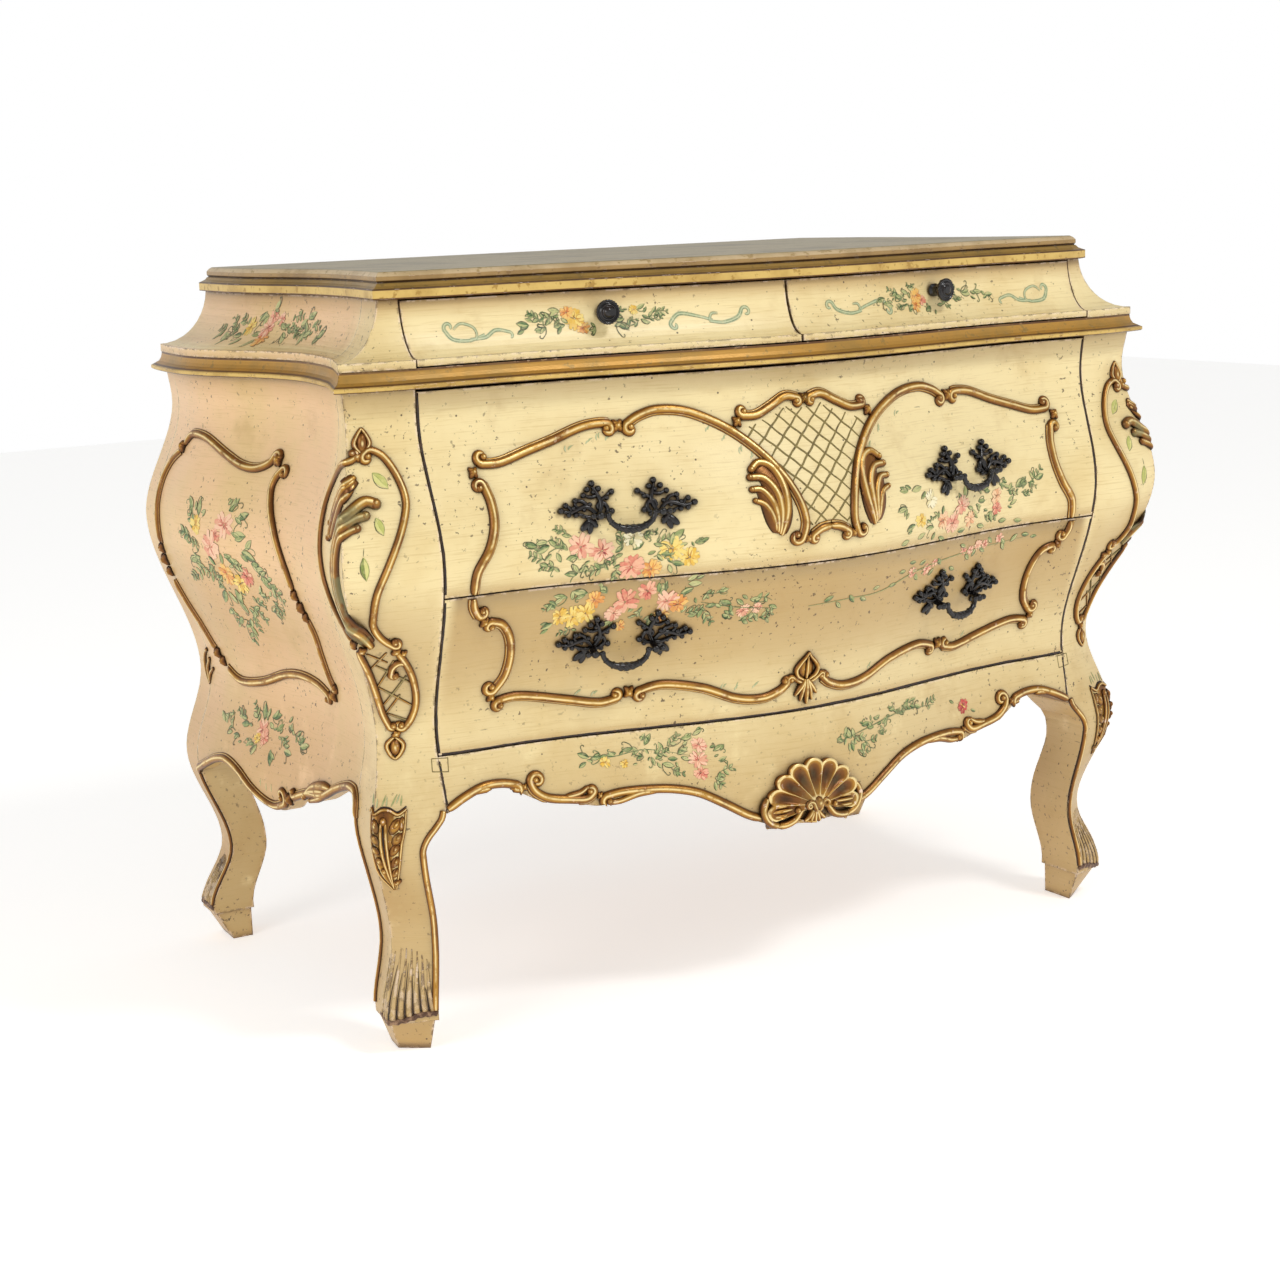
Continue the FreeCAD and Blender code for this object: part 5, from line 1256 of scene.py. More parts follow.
def islandsOf(mesh):
    # the loose parts of a mesh, as lists of face numbers
    parent = list(range(len(mesh.vertices)))

    def root(index):
        while parent[index] != index:
            parent[index] = parent[parent[index]]
            index = parent[index]
        return index

    for face in mesh.polygons:
        first = root(face.vertices[0])
        for index in face.vertices[1:]:
            parent[root(index)] = first
    groups = {}
    for face in mesh.polygons:
        groups.setdefault(root(face.vertices[0]), []).append(face.index)
    return list(groups.values())


def looseCopy(name, tallestInMm, material):
    # a copy of the rounded loose parts of a node (12 faces or more) that are no taller than that
    source = nodes[name].data
    points, faces, renamed = [], [], {}
    for group in islandsOf(source):
        heights = [source.vertices[i].co.z for f in group for i in source.polygons[f].vertices]
        if len(group) < 12 or max(heights) - min(heights) > tallestInMm * mm:
            continue
        for f in group:
            for index in source.polygons[f].vertices:
                if index not in renamed:
                    renamed[index] = len(points)
                    points.append(source.vertices[index].co.copy())
            faces.append([renamed[index] for index in source.polygons[f].vertices])
    return plainMesh(name, points, faces, material)


# A handle plate, as (u, v) from its eye bolt: u outwards along the drawer, v up. Cast scrolls end
# in berries (u, v, radius); the tail is three leaves (u, v, angle, length, width).
plateShape = {
    "scrolls": [
        ([(0, 1), (-5, 9), (-7, 19), (-4, 29), (0, 38)], 1.0),
        ([(3, 1), (-8, 1), (-14, 8), (-11, 16), (-4, 17), (-2, 11), (-7, 9)], 0.9),
        ([(1, 4), (10, 13), (21, 12), (31, 8), (41, 10)], 1.0),
        ([(6, 8), (13, 19), (21, 22), (25, 17), (21, 13)], 0.8),
        ([(-6, 20), (-13, 24), (-20, 30)], 0.8), ([(-4, 27), (4, 25), (11, 28)], 0.8),
        ([(0, 2), (9, 0), (17, 3), (24, 6)], 0.8), ([(30, 9), (33, 15), (38, 17)], 0.7),
    ],
    "berries": [(0, 42, 5.0), (-7, 35, 4.6), (7, 35, 4.6), (0, 31, 3.6), (-22, 30, 4.8), (-15, 23, 4.0),
                (13, 28, 4.4), (44, 11, 4.9), (37, 17, 4.4), (35, 5, 4.0), (24, 22, 4.5), (28, 13, 3.6),
                (26, 4, 3.8), (17, 2, 3.2), (-18, 6, 4.8), (-11, 0, 3.8), (7, 16, 3.6), (15, 10, 3.2),
                (-9, 15, 3.0)],
    "leaves": [(7, -5, -2.2, 9, 4.2), (15, -9, -0.75, 9, 4.2), (10, -12, -1.3, 8, 3.8)],
    "wide": 0.94, "tall": 0.84, "shift": -2.0, "berry": 0.78, "boltReach": 35,
}
bailShape = {"reach": 26.4, "drop": 17.0, "thin": 2.9, "thick": 4.3, "twistFrom": 0.34, "twistTo": 0.66,
             "pinEnd": 43.1, "pin": 2.0, "knuckle": 3.5, "ball": 3.6}


def makePlates(name, drawer, pivot, along):
    skin, values = skinOf(drawer + "_front"), plateShape
    scrolls, buds = [], []
    for end in (-1, 1):
        bolt, _, _, _ = skin.find_nearest(pivot + along * (end * values["boltReach"] * mm))

        def place(u, v):
            u, v = u * values["wide"] + values["shift"], v * values["tall"]
            start = Vector((bolt.x + end * u * along.x * mm, -0.75, bolt.z + v * mm))
            return castTo(skin, start, Vector((0, 1, 0)))

        scrolls += [ribbon(place, points, (0.85, 1.2, 0.8), 2.0, 2.0, scale=size)
                    for points, size in values["scrolls"]]
        for u, v, radius in values["berries"]:
            radius *= values["berry"]
            buds.append(budAt(place, u, v, (radius, radius, radius * 1.1), 2.8))
        buds += [budAt(place, u, v, (length, width, 2.6), 2.0, angle)
                 for u, v, angle, length, width in values["leaves"]]
    asPiece(name + "_scrolls", [sweptMesh(scrolls, 2.3, 2.9, bronze, 10), budMesh(buds, bronze, 12, 8),
                                looseCopy(name + "_plates", 20, bronze)], drawer, [name + "_plates"])


def makeBail(name, pivot, along):
    values, down = bailShape, Vector((0, 0, -1))
    out = along.cross(down).normalized()
    out = out if out.y < 0 else -out

    def barAt(share):
        angle = math.pi * share
        middle = pivot - along * (values["reach"] * math.cos(angle) * mm)
        middle += down * (values["drop"] * math.sin(angle) * mm)
        tangent = along * (values["reach"] * math.sin(angle)) + down * (values["drop"] * math.cos(angle))
        return middle, tangent.normalized()

    def thickness(share):
        return values["thin"] + (values["thick"] - values["thin"]) * math.sin(math.pi * share) ** 3

    shares = [n / 28 for n in range(29)]
    lines = [bareStrand([barAt(s)[0] for s in shares], [out] * 29, [thickness(s) for s in shares])]
    for twist in range(4):
        points = []
        for step in range(25):
            share = values["twistFrom"] + (values["twistTo"] - values["twistFrom"]) * step / 24
            middle, tangent = barAt(share)
            turn = math.tau * (twist / 4 + 0.9 * step / 24)
            aside = tangent.cross(out).normalized()
            reach = (thickness(share) - 0.4) * mm
            points.append(middle + (out * math.cos(turn) + aside * math.sin(turn)) * reach)
        lines.append(bareStrand(points, [out] * 25, tapered(25, 0.5, 1.5, 0.5)))
    rounds = []
    for share, size in ((values["twistFrom"] - 0.04, 1.3), (values["twistTo"] + 0.04, 1.3),
                        (0.16, 1.25), (0.84, 1.25)):
        middle, tangent = barAt(share)
        radius = thickness(share) * size
        rounds.append((middle, tangent, out, (radius, radius, radius * 0.45)))
    for end in (-1, 1):
        pin = [pivot + along * (end * reach * mm) for reach in (values["reach"], 35, values["pinEnd"])]
        lines.append(bareStrand(pin, [out] * 3, [values["pin"]] * 3))
        rounds += [(pin[0], out, along, (values["knuckle"],) * 3), (pin[2], out, along, (values["ball"],) * 3)]
    asPiece(name + "_drop", [sweptMesh(lines, 1.0, 1.0, bronze, 14), budMesh(rounds, bronze, 14, 8)],
            name + "_bail", [name + "_bail"])


for level in ("upper", "lower"):
    for _, word in hands:
        name = level + "_handle_" + word
        pivot, along = Vector(joints[name + "_swing"]["pos_m"]), Vector(joints[name + "_swing"]["axis"])
        along = along if along.x > 0 else -along
        makePlates(name, level + "_drawer", pivot, along)
        makeBail(name, pivot, along)

# outline: radius and height of each ring of the knob, in mm
knobShape = {"turns": 40, "foot": 7.5, "outline": [
    (0.0, 0.0), (7.5, 0.0), (7.6, 1.4), (5.6, 2.6), (4.7, 5.0), (4.7, 9.0), (6.4, 11.6), (9.6, 13.2),
    (12.4, 14.6), (13.3, 16.4), (13.4, 18.2), (12.6, 19.4), (11.6, 19.6), (11.2, 18.6), (10.2, 18.4),
    (9.4, 19.4), (8.6, 20.4), (7.6, 20.4), (7.0, 19.6), (6.2, 19.6), (5.6, 21.2), (4.2, 22.8), (2.2, 23.7),
    (0.0, 24.0)],
    "rimBeads": 26, "rimRadius": 12.6, "rimHeight": 18.6, "beadSize": 1.35, "scallops": 12}


def makeKnob(name):
    values, turns, outline = knobShape, knobShape["turns"], knobShape["outline"]
    low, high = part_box(name + "_knob")
    middle = (low + high) / 2
    skin = skinOf(name + "_front")
    spots = [castTo(skin, Vector((middle.x + dx * mm, -0.75, middle.z - values["foot"] * mm)),
                    Vector((0, 1, 0)))[0] for dx in (-6, 0, 6)]
    axis = Vector((spots[2].y - spots[0].y, -(spots[2].x - spots[0].x), 0)).normalized()
    base = Vector((spots[1].x, spots[1].y, middle.z)) + axis * (0.6 * mm)
    up = Vector((0, 0, 1))
    side = axis.cross(up).normalized()
    points, faces, rise = [], [], []
    for radius, height in outline:
        for turn in range(turns):
            angle = math.tau * turn / turns
            scallop = 1.0 + 0.05 * math.cos(values["scallops"] * angle) if 11.0 < height < 15.5 else 1.0
            reach = radius * scallop * mm
            outward = side * (reach * math.cos(angle)) + up * (reach * math.sin(angle))
            points.append(base + axis * (height * mm) + outward)
            rise.append(0.95 if height > 19.5 or 12.0 < radius else 0.4)
    for first in range(0, (len(outline) - 1) * turns, turns):
        for turn in range(turns):
            a, b = first + turn, first + (turn + 1) % turns
            faces.append((a, b, b + turns, a + turns))
    beads = []
    for number in range(values["rimBeads"]):
        angle = math.tau * number / values["rimBeads"]
        outward = side * math.cos(angle) + up * math.sin(angle)
        point = base + axis * (values["rimHeight"] * mm) + outward * (values["rimRadius"] * mm)
        beads.append((point, axis, outward, (values["beadSize"],) * 3))
    asPiece(name + "_pull", [plainMesh("knob", points, faces, bronze, rise), budMesh(beads, bronze, 8, 5),
                             looseCopy(name + "_knob", 15, bronze)], name, [name + "_knob"])


makeKnob("frieze_drawer_left")
makeKnob("frieze_drawer_right")
print("handles and knobs ready")

# Colours of the painted sprays: petals from light to deep, leaves, stems.
sprayColours = {
    "pink": ["#efbf9f", "#e0977c", "#c25f50", "#8c3432"],
    "rose": ["#eaab8c", "#d97b64", "#b54a3f", "#742a28"],
    "yellow": ["#efd272", "#e3b540", "#c48a2a", "#7a4f1c"],
    "orange": ["#eab860", "#dc9140", "#c2622e", "#7c3a20"],
    "peach": ["#f0c79b", "#e6a677", "#c97a55", "#8c4a35"],
    "red": ["#c93036", "#b3222a", "#8c1a20", "#e6c84a"],
    "pale": ["#f3e9c4", "#e4d6a2", "#b8a878", "#8a7b52"],
    "leaf": ["#b7b77a", "#8c9a5c", "#587343", "#2c441f"],
    "lime": ["#d3cf7e", "#b9bb62", "#7c8a3e", "#4a5a26"],
    "faded": ["#b9bf92", "#a3ad7c", "#8a9768", "#74815a"],
    "scroll": ["#b3bd94", "#9dab82", "#83946c", "#6c7d58"],
}
# How high strokes lie over the surface, in mm: the first, each further one, and after how many it
# starts again.
brushLift = {"from": 0.16, "step": 0.012, "steps": 45}


class Brush:
    # collects painted strokes on one surface, each a hair above the one before
    def __init__(self, place, seed):
        self.place = place
        self.random = random.Random(seed)
        self.strands = []

    def lay(self, line, girth, hexColour):
        lift = brushLift["from"] + brushLift["step"] * (len(self.strands) % brushLift["steps"])
        self.strands.append(strand(self.place, line, girth, lift, toLinear(hexColour)))

    def stroke(self, points, width, hexColour, ends=(0.5, 1.0, 0.3), step=2.0):
        line = smoothLine(points, step)
        self.lay(line, [g * width / 2 for g in tapered(len(line), *ends)], hexColour)

    def dab(self, a, z, angle, length, width, hexColour, bulge=0.0, ends=(0.25, 1.0, 0.2)):
        # one press of the brush, bowed to the left by the bulge
        points = []
        for share in (0.0, 0.3, 0.65, 1.0):
            aside = 4 * bulge * share * (1 - share)
            points.append((a + length * share * math.cos(angle) - aside * math.sin(angle),
                           z + length * share * math.sin(angle) + aside * math.cos(angle)))
        self.stroke(points, width, hexColour, ends, 1.6)

    def leaf(self, a, z, angle, length, kind="leaf"):
        # two halves of different green between thin dark edges
        light, middle, deep, dark = sprayColours[kind]
        vary, choose, here = self.random.uniform, self.random.choice, (a, z, angle)
        wide = vary(0.2, 0.3)
        self.dab(*here, length, length * wide, choose((light, light, middle)), 0.1 * length)
        self.dab(*here, length * 0.96, length * wide * 0.7, choose((light, middle, deep)), -0.09 * length)
        edge = length * (0.1 + wide * 0.42)
        self.dab(*here, length * 1.03, 0.85, dark, -edge, (0.7, 1.0, 0.5))
        if self.random.random() < 0.6:
            self.dab(*here, length * 1.03, 0.7, deep, edge, (0.6, 1.0, 0.5))
        self.dab(*here, length * vary(0.5, 0.9), 0.5, deep, vary(-0.6, 0.6), (0.8, 0.9, 0.3))

    def tendril(self, a, z, angle, length):
        turn = self.random.choice((-1, 1))
        points = [(a + reach * math.cos(heading), z + reach * math.sin(heading)) for reach, heading in
                  ((0.0, angle), (length * 0.5, angle + 0.3 * turn), (length, angle))]
        line = smoothLine(points, 1.6)
        line += volute(line, -turn, length * 0.2, 0.6)
        self.lay(line, [0.42] * len(line), self.random.choice(sprayColours["leaf"][2:]))

    def sprig(self, a, z, angle, length, kind="leaf", pairs=3):
        # a curving stem with small leaves to both sides
        vary = self.random.uniform
        bow = vary(-0.16, 0.16) * length
        self.dab(a, z, angle, length, 0.8, sprayColours[kind][2], bow, (0.9, 0.9, 0.4))
        for number in range(pairs):
            share = (number + 0.55) / pairs
            aside = 4 * bow * share * (1 - share)
            x = a + length * share * math.cos(angle) - aside * math.sin(angle)
            y = z + length * share * math.sin(angle) + aside * math.cos(angle)
            for side in (-1, 1):
                if self.random.random() < 0.85:
                    size = length * (0.46 - 0.2 * share) * vary(0.8, 1.15)
                    self.leaf(x, y, angle + side * vary(0.55, 1.0), size, kind)

    def flower(self, a, z, size, kind):
        # open petals, pale in the middle, with deeper edges and a dark heart
        light, middle, deep, dark = sprayColours[kind]
        vary, choose = self.random.uniform, self.random.choice
        turn = vary(0, math.tau)
        petals = choose((5, 6))
        for number in range(petals):
            angle = turn + math.tau * number / petals + vary(-0.25, 0.25)
            reach = size * vary(0.38, 0.56)
            start = (a + 0.06 * size * math.cos(angle), z + 0.06 * size * math.sin(angle))
            for side in (-1, 1):
                self.dab(*start, angle + side * 0.2, reach, size * vary(0.2, 0.27),
                         choose((light, light, middle)), side * size * vary(0.02, 0.06), (0.4, 1.0, 0.55))
            for side in (-1, 1):
                if self.random.random() < 0.7:
                    self.dab(*start, angle + side * 0.34, reach * vary(0.85, 1.02), 0.85,
                             choose((middle, deep, deep)), side * size * vary(0.07, 0.12), (0.5, 1.0, 0.4))
            self.dab(*start, angle, reach * vary(0.45, 0.75), size * 0.09, choose((middle, deep)),
                     vary(-1, 1), (0.9, 0.8, 0.1))
        for number in range(5):
            angle = turn + math.tau * number / 5 + vary(-0.5, 0.5)
            self.dab(a + 0.04 * size * math.cos(angle), z + 0.04 * size * math.sin(angle), angle + 0.7,
                     size * vary(0.14, 0.26), size * 0.07, choose((middle, deep, dark)), vary(0.4, 1.2))

    def spray(self, middle, flowers, leaves, length=15.0):
        # leaves and tendrils that grow away from the middle, then the flowers over them
        vary, chance = self.random.uniform, self.random.random
        for a, z in leaves:
            angle = math.atan2(z - middle[1], a - middle[0]) + vary(-0.6, 0.6)
            size = length * vary(0.75, 1.2)
            back = (a - size * 0.5 * math.cos(angle), z - size * 0.5 * math.sin(angle))
            if chance() < 0.45:
                self.sprig(*back, angle, size * 1.25)
            else:
                self.leaf(*back, angle, size)
            for _ in range(2):
                beside = (back[0] + vary(-9, 9), back[1] + vary(-7, 7))
                self.leaf(*beside, angle + vary(-1.3, 1.3), size * vary(0.45, 0.8))
            for _ in range(3):
                if chance() < 0.5:
                    self.tendril(*back, angle + vary(-1.0, 1.0), size * vary(0.6, 1.1))
        for flower in flowers:
            self.flower(*flower)

    def fadedMarks(self, marks):
        for a, z in marks:
            for number in range(2):
                self.dab(a + 3 * number, z - 3 + 2 * number, 1.0 + self.random.uniform(-0.5, 0.5),
                         self.random.uniform(5, 9), 1.7, sprayColours["faded"][number], 1.0)

    def scroll(self, points, start, end, width, hand):
        line = scrolled(points, start, end, 2.0, hand)[0]
        swell = tapered(len(line), 0.3, 1.0, 0.35)
        for shade, shift, wide in ((0, 0.0, 1.5), (2, 1.3, 0.45), (3, -1.3, 0.3)):
            self.lay(offsetLine(line, shift), [width / 2 * wide * g for g in swell], sprayColours["scroll"][shade])

    def finish(self, name, body):
        asPiece(name, [sweptMesh(self.strands, 1.0, 1.0, sprayPaint, 4, True)], body)


def paintUpperDrawer():
    brush = Brush(onFront("upper_drawer_front"), 11)
    brush.spray((-250, 542),
                [(-290, 557, 26, "pink"), (-266, 551, 25, "pink"), (-233, 530, 28, "rose"),
                 (-211, 526, 22, "orange"), (-188, 548, 26, "yellow"), (-169, 536, 22, "yellow"),
                 (-231, 562, 20, "pale")],
                [(-346, 564), (-333, 558), (-315, 561), (-309, 573), (-325, 537), (-338, 549), (-300, 528),
                 (-287, 532), (-249, 523), (-226, 553), (-255, 539), (-201, 539), (-182, 562), (-214, 566),
                 (-245, 560), (-196, 556), (-158, 552), (-182, 530), (-300, 546), (-272, 532)])
    brush.spray((220, 548),
                [(143, 546, 18, "yellow"), (161, 568, 20, "pale"), (184, 541, 22, "peach"),
                 (202, 535, 24, "pink"), (219, 554, 22, "pink"), (283, 558, 18, "peach"),
                 (284, 543, 16, "rose"), (236, 536, 18, "peach")],
                [(116, 583), (138, 583), (126, 540), (169, 550), (244, 541), (256, 555), (271, 535),
                 (310, 561), (314, 547), (335, 558), (353, 577), (296, 570), (226, 570), (160, 535),
                 (110, 562), (330, 570), (345, 566), (262, 570)])
    for x, z in ((112, 520), (140, 524), (178, 521), (214, 523), (250, 526), (290, 526), (318, 524)):
        brush.leaf(x, z, brush.random.uniform(-0.4, 0.6), 13)
    brush.fadedMarks([(-288, 661), (-264, 668), (-251, 671), (-241, 670), (-127, 672), (-111, 661), (-94, 646),
                      (-83, 640), (133, 669), (99, 654), (77, 638), (289, 672), (321, 664)])
    brush.finish("upper_drawer_spray", "upper_drawer")


def paintLowerDrawer():
    brush = Brush(onFront("lower_drawer_front"), 12)
    brush.spray((-210, 488),
                [(-271, 496, 20, "orange"), (-279, 481, 22, "yellow"), (-293, 478, 22, "yellow"),
                 (-308, 480, 18, "yellow"), (-236, 490, 28, "rose"), (-247, 478, 20, "pink"),
                 (-212, 500, 22, "rose"), (-189, 487, 24, "pink"), (-176, 482, 22, "orange"),
                 (-193, 472, 16, "orange"), (-238, 462, 12, "orange"), (-98, 467, 14, "pink"),
                 (-82, 469, 12, "pink")],
                [(-310, 503), (-288, 506), (-262, 507), (-194, 502), (-158, 473), (-142, 491), (-140, 466),
                 (-121, 479), (-117, 462), (-221, 475), (-205, 466), (-160, 505), (-168, 497), (-126, 494),
                 (-104, 478), (-78, 478), (-62, 468), (-70, 458), (-92, 456), (-318, 492), (-322, 470),
                 (-300, 462), (-255, 466)])
    brush.stroke([(-150, 482), (-112, 473), (-60, 466)], 1.0, sprayColours["leaf"][2])
    brush.stroke([(-15, 463), (40, 465), (91, 467), (150, 484), (230, 494), (340, 500)], 1.1, sprayColours["leaf"][1])
    for x, z in ((6, 466), (24, 463), (42, 469), (60, 463), (78, 471), (104, 471), (118, 486), (136, 478),
                 (152, 491), (300, 503), (318, 497), (336, 504), (352, 499)):
        brush.leaf(x, z, brush.random.uniform(-0.8, 0.8), brush.random.uniform(10, 15))
    for x in range(128, 300, 13):
        z = 484 + (x - 128) * 0.095 + brush.random.uniform(-6, 7)
        if brush.random.random() < 0.62:
            brush.flower(x, z, brush.random.uniform(10, 15), "pink")
        brush.leaf(x + 5, z + brush.random.uniform(-9, 9), brush.random.uniform(-1.2, 1.2), 11)
    brush.fadedMarks([(-279, 386), (-259, 383), (-108, 375), (-92, 372), (-70, 372), (96, 372), (264, 384)])
    brush.finish("lower_drawer_spray", "lower_drawer")


def paintApron():
    brush = Brush(onFront("front_apron"), 13)
    brush.stroke([(-274, 313), (-240, 308), (-200, 312), (-150, 300)], 1.0, sprayColours["leaf"][2])
    brush.spray((-200, 304),
                [(-138, 311, 17, "pink"), (-141, 294, 19, "pink"), (-139, 279, 16, "rose"),
                 (-248, 303, 13, "yellow"), (-226, 299, 9, "yellow")],
                [(-272, 313), (-258, 309), (-240, 311), (-221, 314), (-208, 306), (-197, 323), (-184, 308),
                 (-170, 319), (-167, 285), (-176, 292), (-158, 306), (-116, 305), (-112, 292), (-117, 267),
                 (-108, 278), (-152, 320), (-139, 325), (-193, 298)], 13.0)
    brush.stroke([(48, 291), (96, 300), (150, 308), (210, 306)], 1.0, sprayColours["leaf"][2])
    brush.spray((60, 288), [],
                [(46, 292), (60, 298), (74, 290), (88, 304), (95, 299), (108, 308), (121, 303), (134, 313),
                 (149, 309), (163, 315), (180, 309), (203, 308), (78, 275), (92, 284), (64, 282), (112, 290)], 13.0)
    brush.flower(262, 295, 17, "red")
    brush.flower(262, 295, 8, "yellow")
    brush.leaf(246, 301, 2.6, 8)
    brush.leaf(276, 288, -0.4, 8)
    brush.finish("apron_spray", "case")


def paintSide(hand, word):
    brush = Brush(onSide(hand, "side_panel_" + word), 14 if hand < 0 else 15)
    brush.spray((228, 530),
                [(249, 568, 30, "pink"), (219, 540, 34, "pink"), (274, 508, 22, "rose"),
                 (190, 564, 22, "yellow"), (236, 508, 26, "orange"), (256, 498, 24, "yellow"),
                 (232, 556, 16, "rose")],
                [(277, 557), (252, 527), (262, 519), (208, 477), (312, 508), (238, 467), (326, 494),
                 (228, 437), (182, 573), (157, 498), (262, 592), (176, 590), (196, 585), (164, 548),
                 (170, 520), (186, 508), (282, 580), (290, 534), (300, 520), (318, 478), (292, 486),
                 (276, 476), (250, 450), (240, 480), (212, 452), (262, 462), (306, 466), (184, 540),
                 (206, 512), (216, 500)], 21.0)
    brush.spray((225, 308),
                [(221, 311, 22, "pink"), (229, 302, 16, "rose"), (214, 300, 12, "yellow")],
                [(218, 332), (200, 330), (163, 322), (279, 321), (320, 306), (285, 293), (165, 296),
                 (117, 312), (140, 318), (198, 292), (250, 282), (180, 312), (256, 318), (268, 306),
                 (300, 312), (244, 330), (150, 304), (212, 286)], 17.0)
    for depth in (235, 247, 258):
        brush.dab(depth, 243 + brush.random.uniform(-2, 3), 1.5, 10, 1.6, sprayColours["leaf"][0])
    brush.finish("side_spray_" + word, "case")
    cove = Brush(onSide(hand, "frieze_side_" + word), 16 if hand < 0 else 17)
    cove.spray((245, 792),
               [(204, 793, 20, "yellow"), (240, 792, 22, "pink"), (245, 806, 18, "rose"),
                (243, 781, 18, "orange"), (262, 803, 14, "pink")],
               [(136, 789), (155, 797), (172, 789), (184, 799), (374, 788), (336, 808), (318, 800), (293, 792),
                (283, 782), (300, 806), (352, 796), (330, 786), (272, 794), (222, 805), (226, 785), (188, 783),
                (160, 782), (246, 818), (310, 790)], 17.0)
    cove.finish("cove_spray_" + word, "case")


def paintCorner(hand, word):
    # three loose leaves inside the cartouche and a few short strokes over the knee
    brush = Brush(onCorner(hand, "front_post_" + word), 20 if hand < 0 else 21)
    for a, z, angle, length in ((28, 654, -0.75, 24), (34, 609, -1.1, 20), (22, 570, -1.5, 24)):
        brush.leaf(a, z, angle, length, "lime")
    brush.dab(22, 571, 1.5, 9, 0.6, sprayColours["leaf"][3])
    for number in range(8):
        a = -8 + number * 5.0
        brush.dab(a, 288 + brush.random.uniform(-1, 2), 1.45 + brush.random.uniform(-0.3, 0.3),
                  brush.random.uniform(9, 15), 1.5, sprayColours["leaf" if number % 2 else "faded"][1])
    brush.finish("corner_spray_" + word, "case")


def paintFriezeDrawer(name, hand, flowers, leaves, seed):
    brush = Brush(onFront(name + "_front"), seed)
    for points, start, end, width in (
            ([(412, 796), (404, 786), (384, 784), (366, 789)], (1, 6.0, 0.75), None, 3.4),
            ([(384, 785), (366, 786), (352, 793), (336, 790)], None, (1, 4.0, 0.5), 3.0),
            ([(402, 796), (392, 802), (378, 797), (376, 787), (386, 783)], None, None, 1.3),
            ([(150, 790), (138, 799), (116, 795), (100, 790)], (-1, 5.0, 0.8), None, 3.2),
            ([(104, 789), (86, 787), (68, 792), (62, 800)], None, (1, 6.0, 0.8), 3.4),
            ([(104, 789), (100, 797), (92, 797)], None, None, 1.3)):
        brush.scroll(points, start, end, width, hand)
    brush.spray((hand * 235, 800), flowers, leaves, 13.0)
    brush.finish(name + "_spray", name)


paintUpperDrawer()
paintLowerDrawer()
paintApron()
for paint in (paintSide, paintCorner):
    for hand, word in hands:
        paint(hand, word)
paintFriezeDrawer("frieze_drawer_left", -1,
                  [(-259, 800, 22, "yellow"), (-268, 807, 15, "orange"), (-252, 790, 14, "orange"),
                   (-190, 806, 10, "yellow")],
                  [(-305, 803), (-320, 797), (-292, 800), (-278, 793), (-240, 786), (-207, 803), (-182, 809),
                   (-196, 793), (-170, 797), (-282, 810), (-300, 790), (-206, 789), (-160, 803)], 18)
paintFriezeDrawer("frieze_drawer_right", 1,
                  [(196, 801, 17, "orange"), (193, 790, 14, "orange"), (204, 795, 12, "rose"),
                   (250, 797, 9, "yellow")],
                  [(137, 799), (150, 792), (166, 799), (178, 806), (171, 790), (184, 788), (212, 785),
                   (255, 802), (262, 795), (280, 799), (300, 800), (318, 796), (190, 812), (242, 790),
                   (160, 806)], 19)
print("sprays painted")


# Places and sizes in metres, power in watts. The light of the sky fades from the horizon upwards.
studio = {
    "floorHex": "#f6f5f2", "floorSize": 14.0, "floorGlow": 0.5, "skyHex": "#ffffff", "horizon": 1.0, "zenith": 0.36,
    "target": (0.0, -0.1, 0.5),
    "lamps": {"keyLight": ((0.9, -2.5, 3.4), 0.8, 45.0), "fillLight": ((-3.2, -1.2, 1.9), 1.6, 26.0)},
}


def layFloor():
    half = studio["floorSize"] / 2
    material, tree, _ = startMaterial("paleFloor")
    endMaterial(tree, {"Base Color": toLinear(studio["floorHex"]), "Roughness": 0.8,
                       "Emission Color": (1.0, 1.0, 1.0, 1.0), "Emission Strength": studio["floorGlow"]})
    mesh = plainMesh("floor", [(-half, -half, 0), (half, -half, 0), (half, half, 0), (-half, half, 0)],
                     [(0, 1, 2, 3)], material)
    floor = bpy.data.objects.new("floor", mesh)
    bpy.context.scene.collection.objects.link(floor)


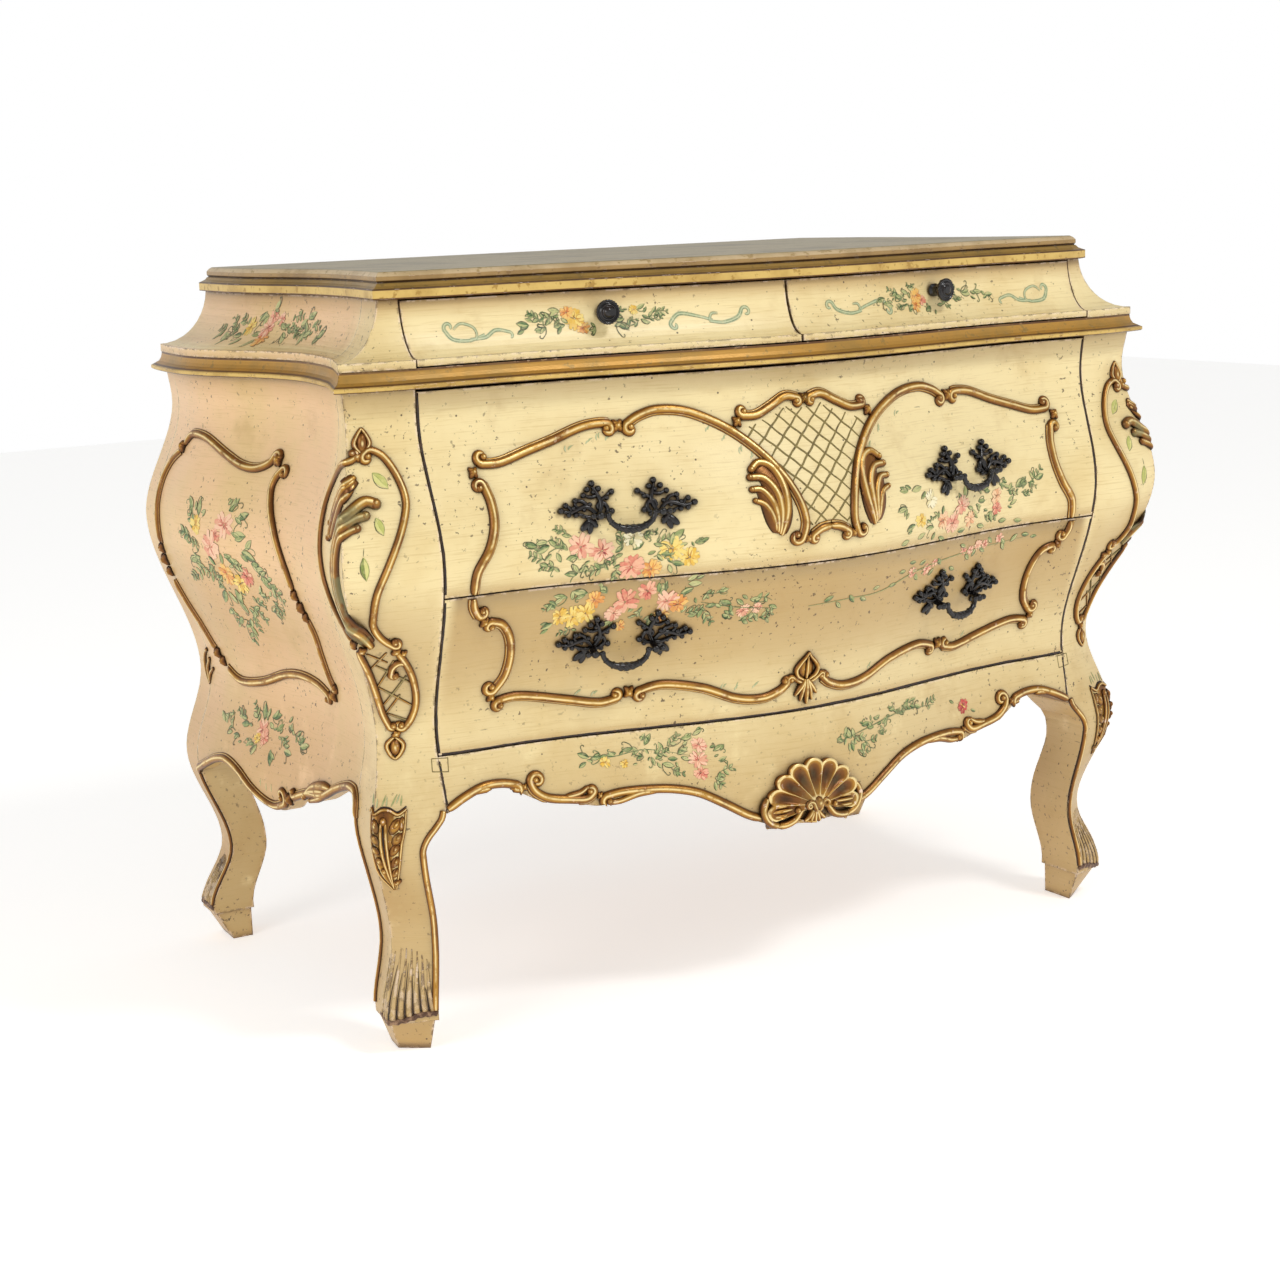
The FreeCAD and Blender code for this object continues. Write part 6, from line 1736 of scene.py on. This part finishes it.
def lightSky():
    world = bpy.data.worlds.new("softDaylight")
    world.use_nodes = True
    tree = world.node_tree
    sky = tree.nodes["Background"]
    sky.inputs[0].default_value = toLinear(studio["skyHex"])
    view = addNode(tree, "ShaderNodeTexCoord").outputs["Generated"]
    upward = addNode(tree, "ShaderNodeSeparateXYZ", {0: view}).outputs[2]
    tree.links.new(masked(tree, (upward, 0.12, 0.6, studio["zenith"], studio["horizon"])), sky.inputs[1])
    bpy.context.scene.world = world


def hangLamp(name, place, size, power):
    lamp = bpy.data.lights.new(name, "AREA")
    lamp.shape = "DISK"
    lamp.size = size
    lamp.energy = power
    holder = bpy.data.objects.new(name, lamp)
    holder.location = place
    holder.rotation_euler = (Vector(studio["target"]) - Vector(place)).to_track_quat("-Z", "Y").to_euler()
    bpy.context.scene.collection.objects.link(holder)


# Angles in degrees: yaw from straight ahead to the right, pitch downwards. The lens is in mm.
viewpoint = {"place": (-1.512, -2.5087, 0.930), "yaw": 30.22, "pitch": 10.69, "roll": -2.15, "lens": 66.32}


def placeCamera():
    yaw, pitch, roll = (math.radians(viewpoint[key]) for key in ("yaw", "pitch", "roll"))
    ahead = Vector((math.sin(yaw) * math.cos(pitch), math.cos(yaw) * math.cos(pitch), -math.sin(pitch)))
    level = Vector((math.cos(yaw), -math.sin(yaw), 0))
    up = level.cross(ahead)
    right = level * math.cos(roll) + up * math.sin(roll)
    top = up * math.cos(roll) - level * math.sin(roll)
    data = bpy.data.cameras.new("camera")
    data.sensor_width = 36.0
    data.lens = viewpoint["lens"]
    camera = bpy.data.objects.new("camera", data)
    turn = camera.matrix_world.copy()
    for row in range(3):
        turn[row][0], turn[row][1], turn[row][2] = right[row], top[row], -ahead[row]
        turn[row][3] = viewpoint["place"][row]
    camera.matrix_world = turn
    bpy.context.scene.collection.objects.link(camera)
    bpy.context.scene.camera = camera


layFloor()
lightSky()
for name, values in studio["lamps"].items():
    hangLamp(name, *values)
bpy.context.scene.view_settings.view_transform = "Standard"
placeCamera()
print("studio ready")
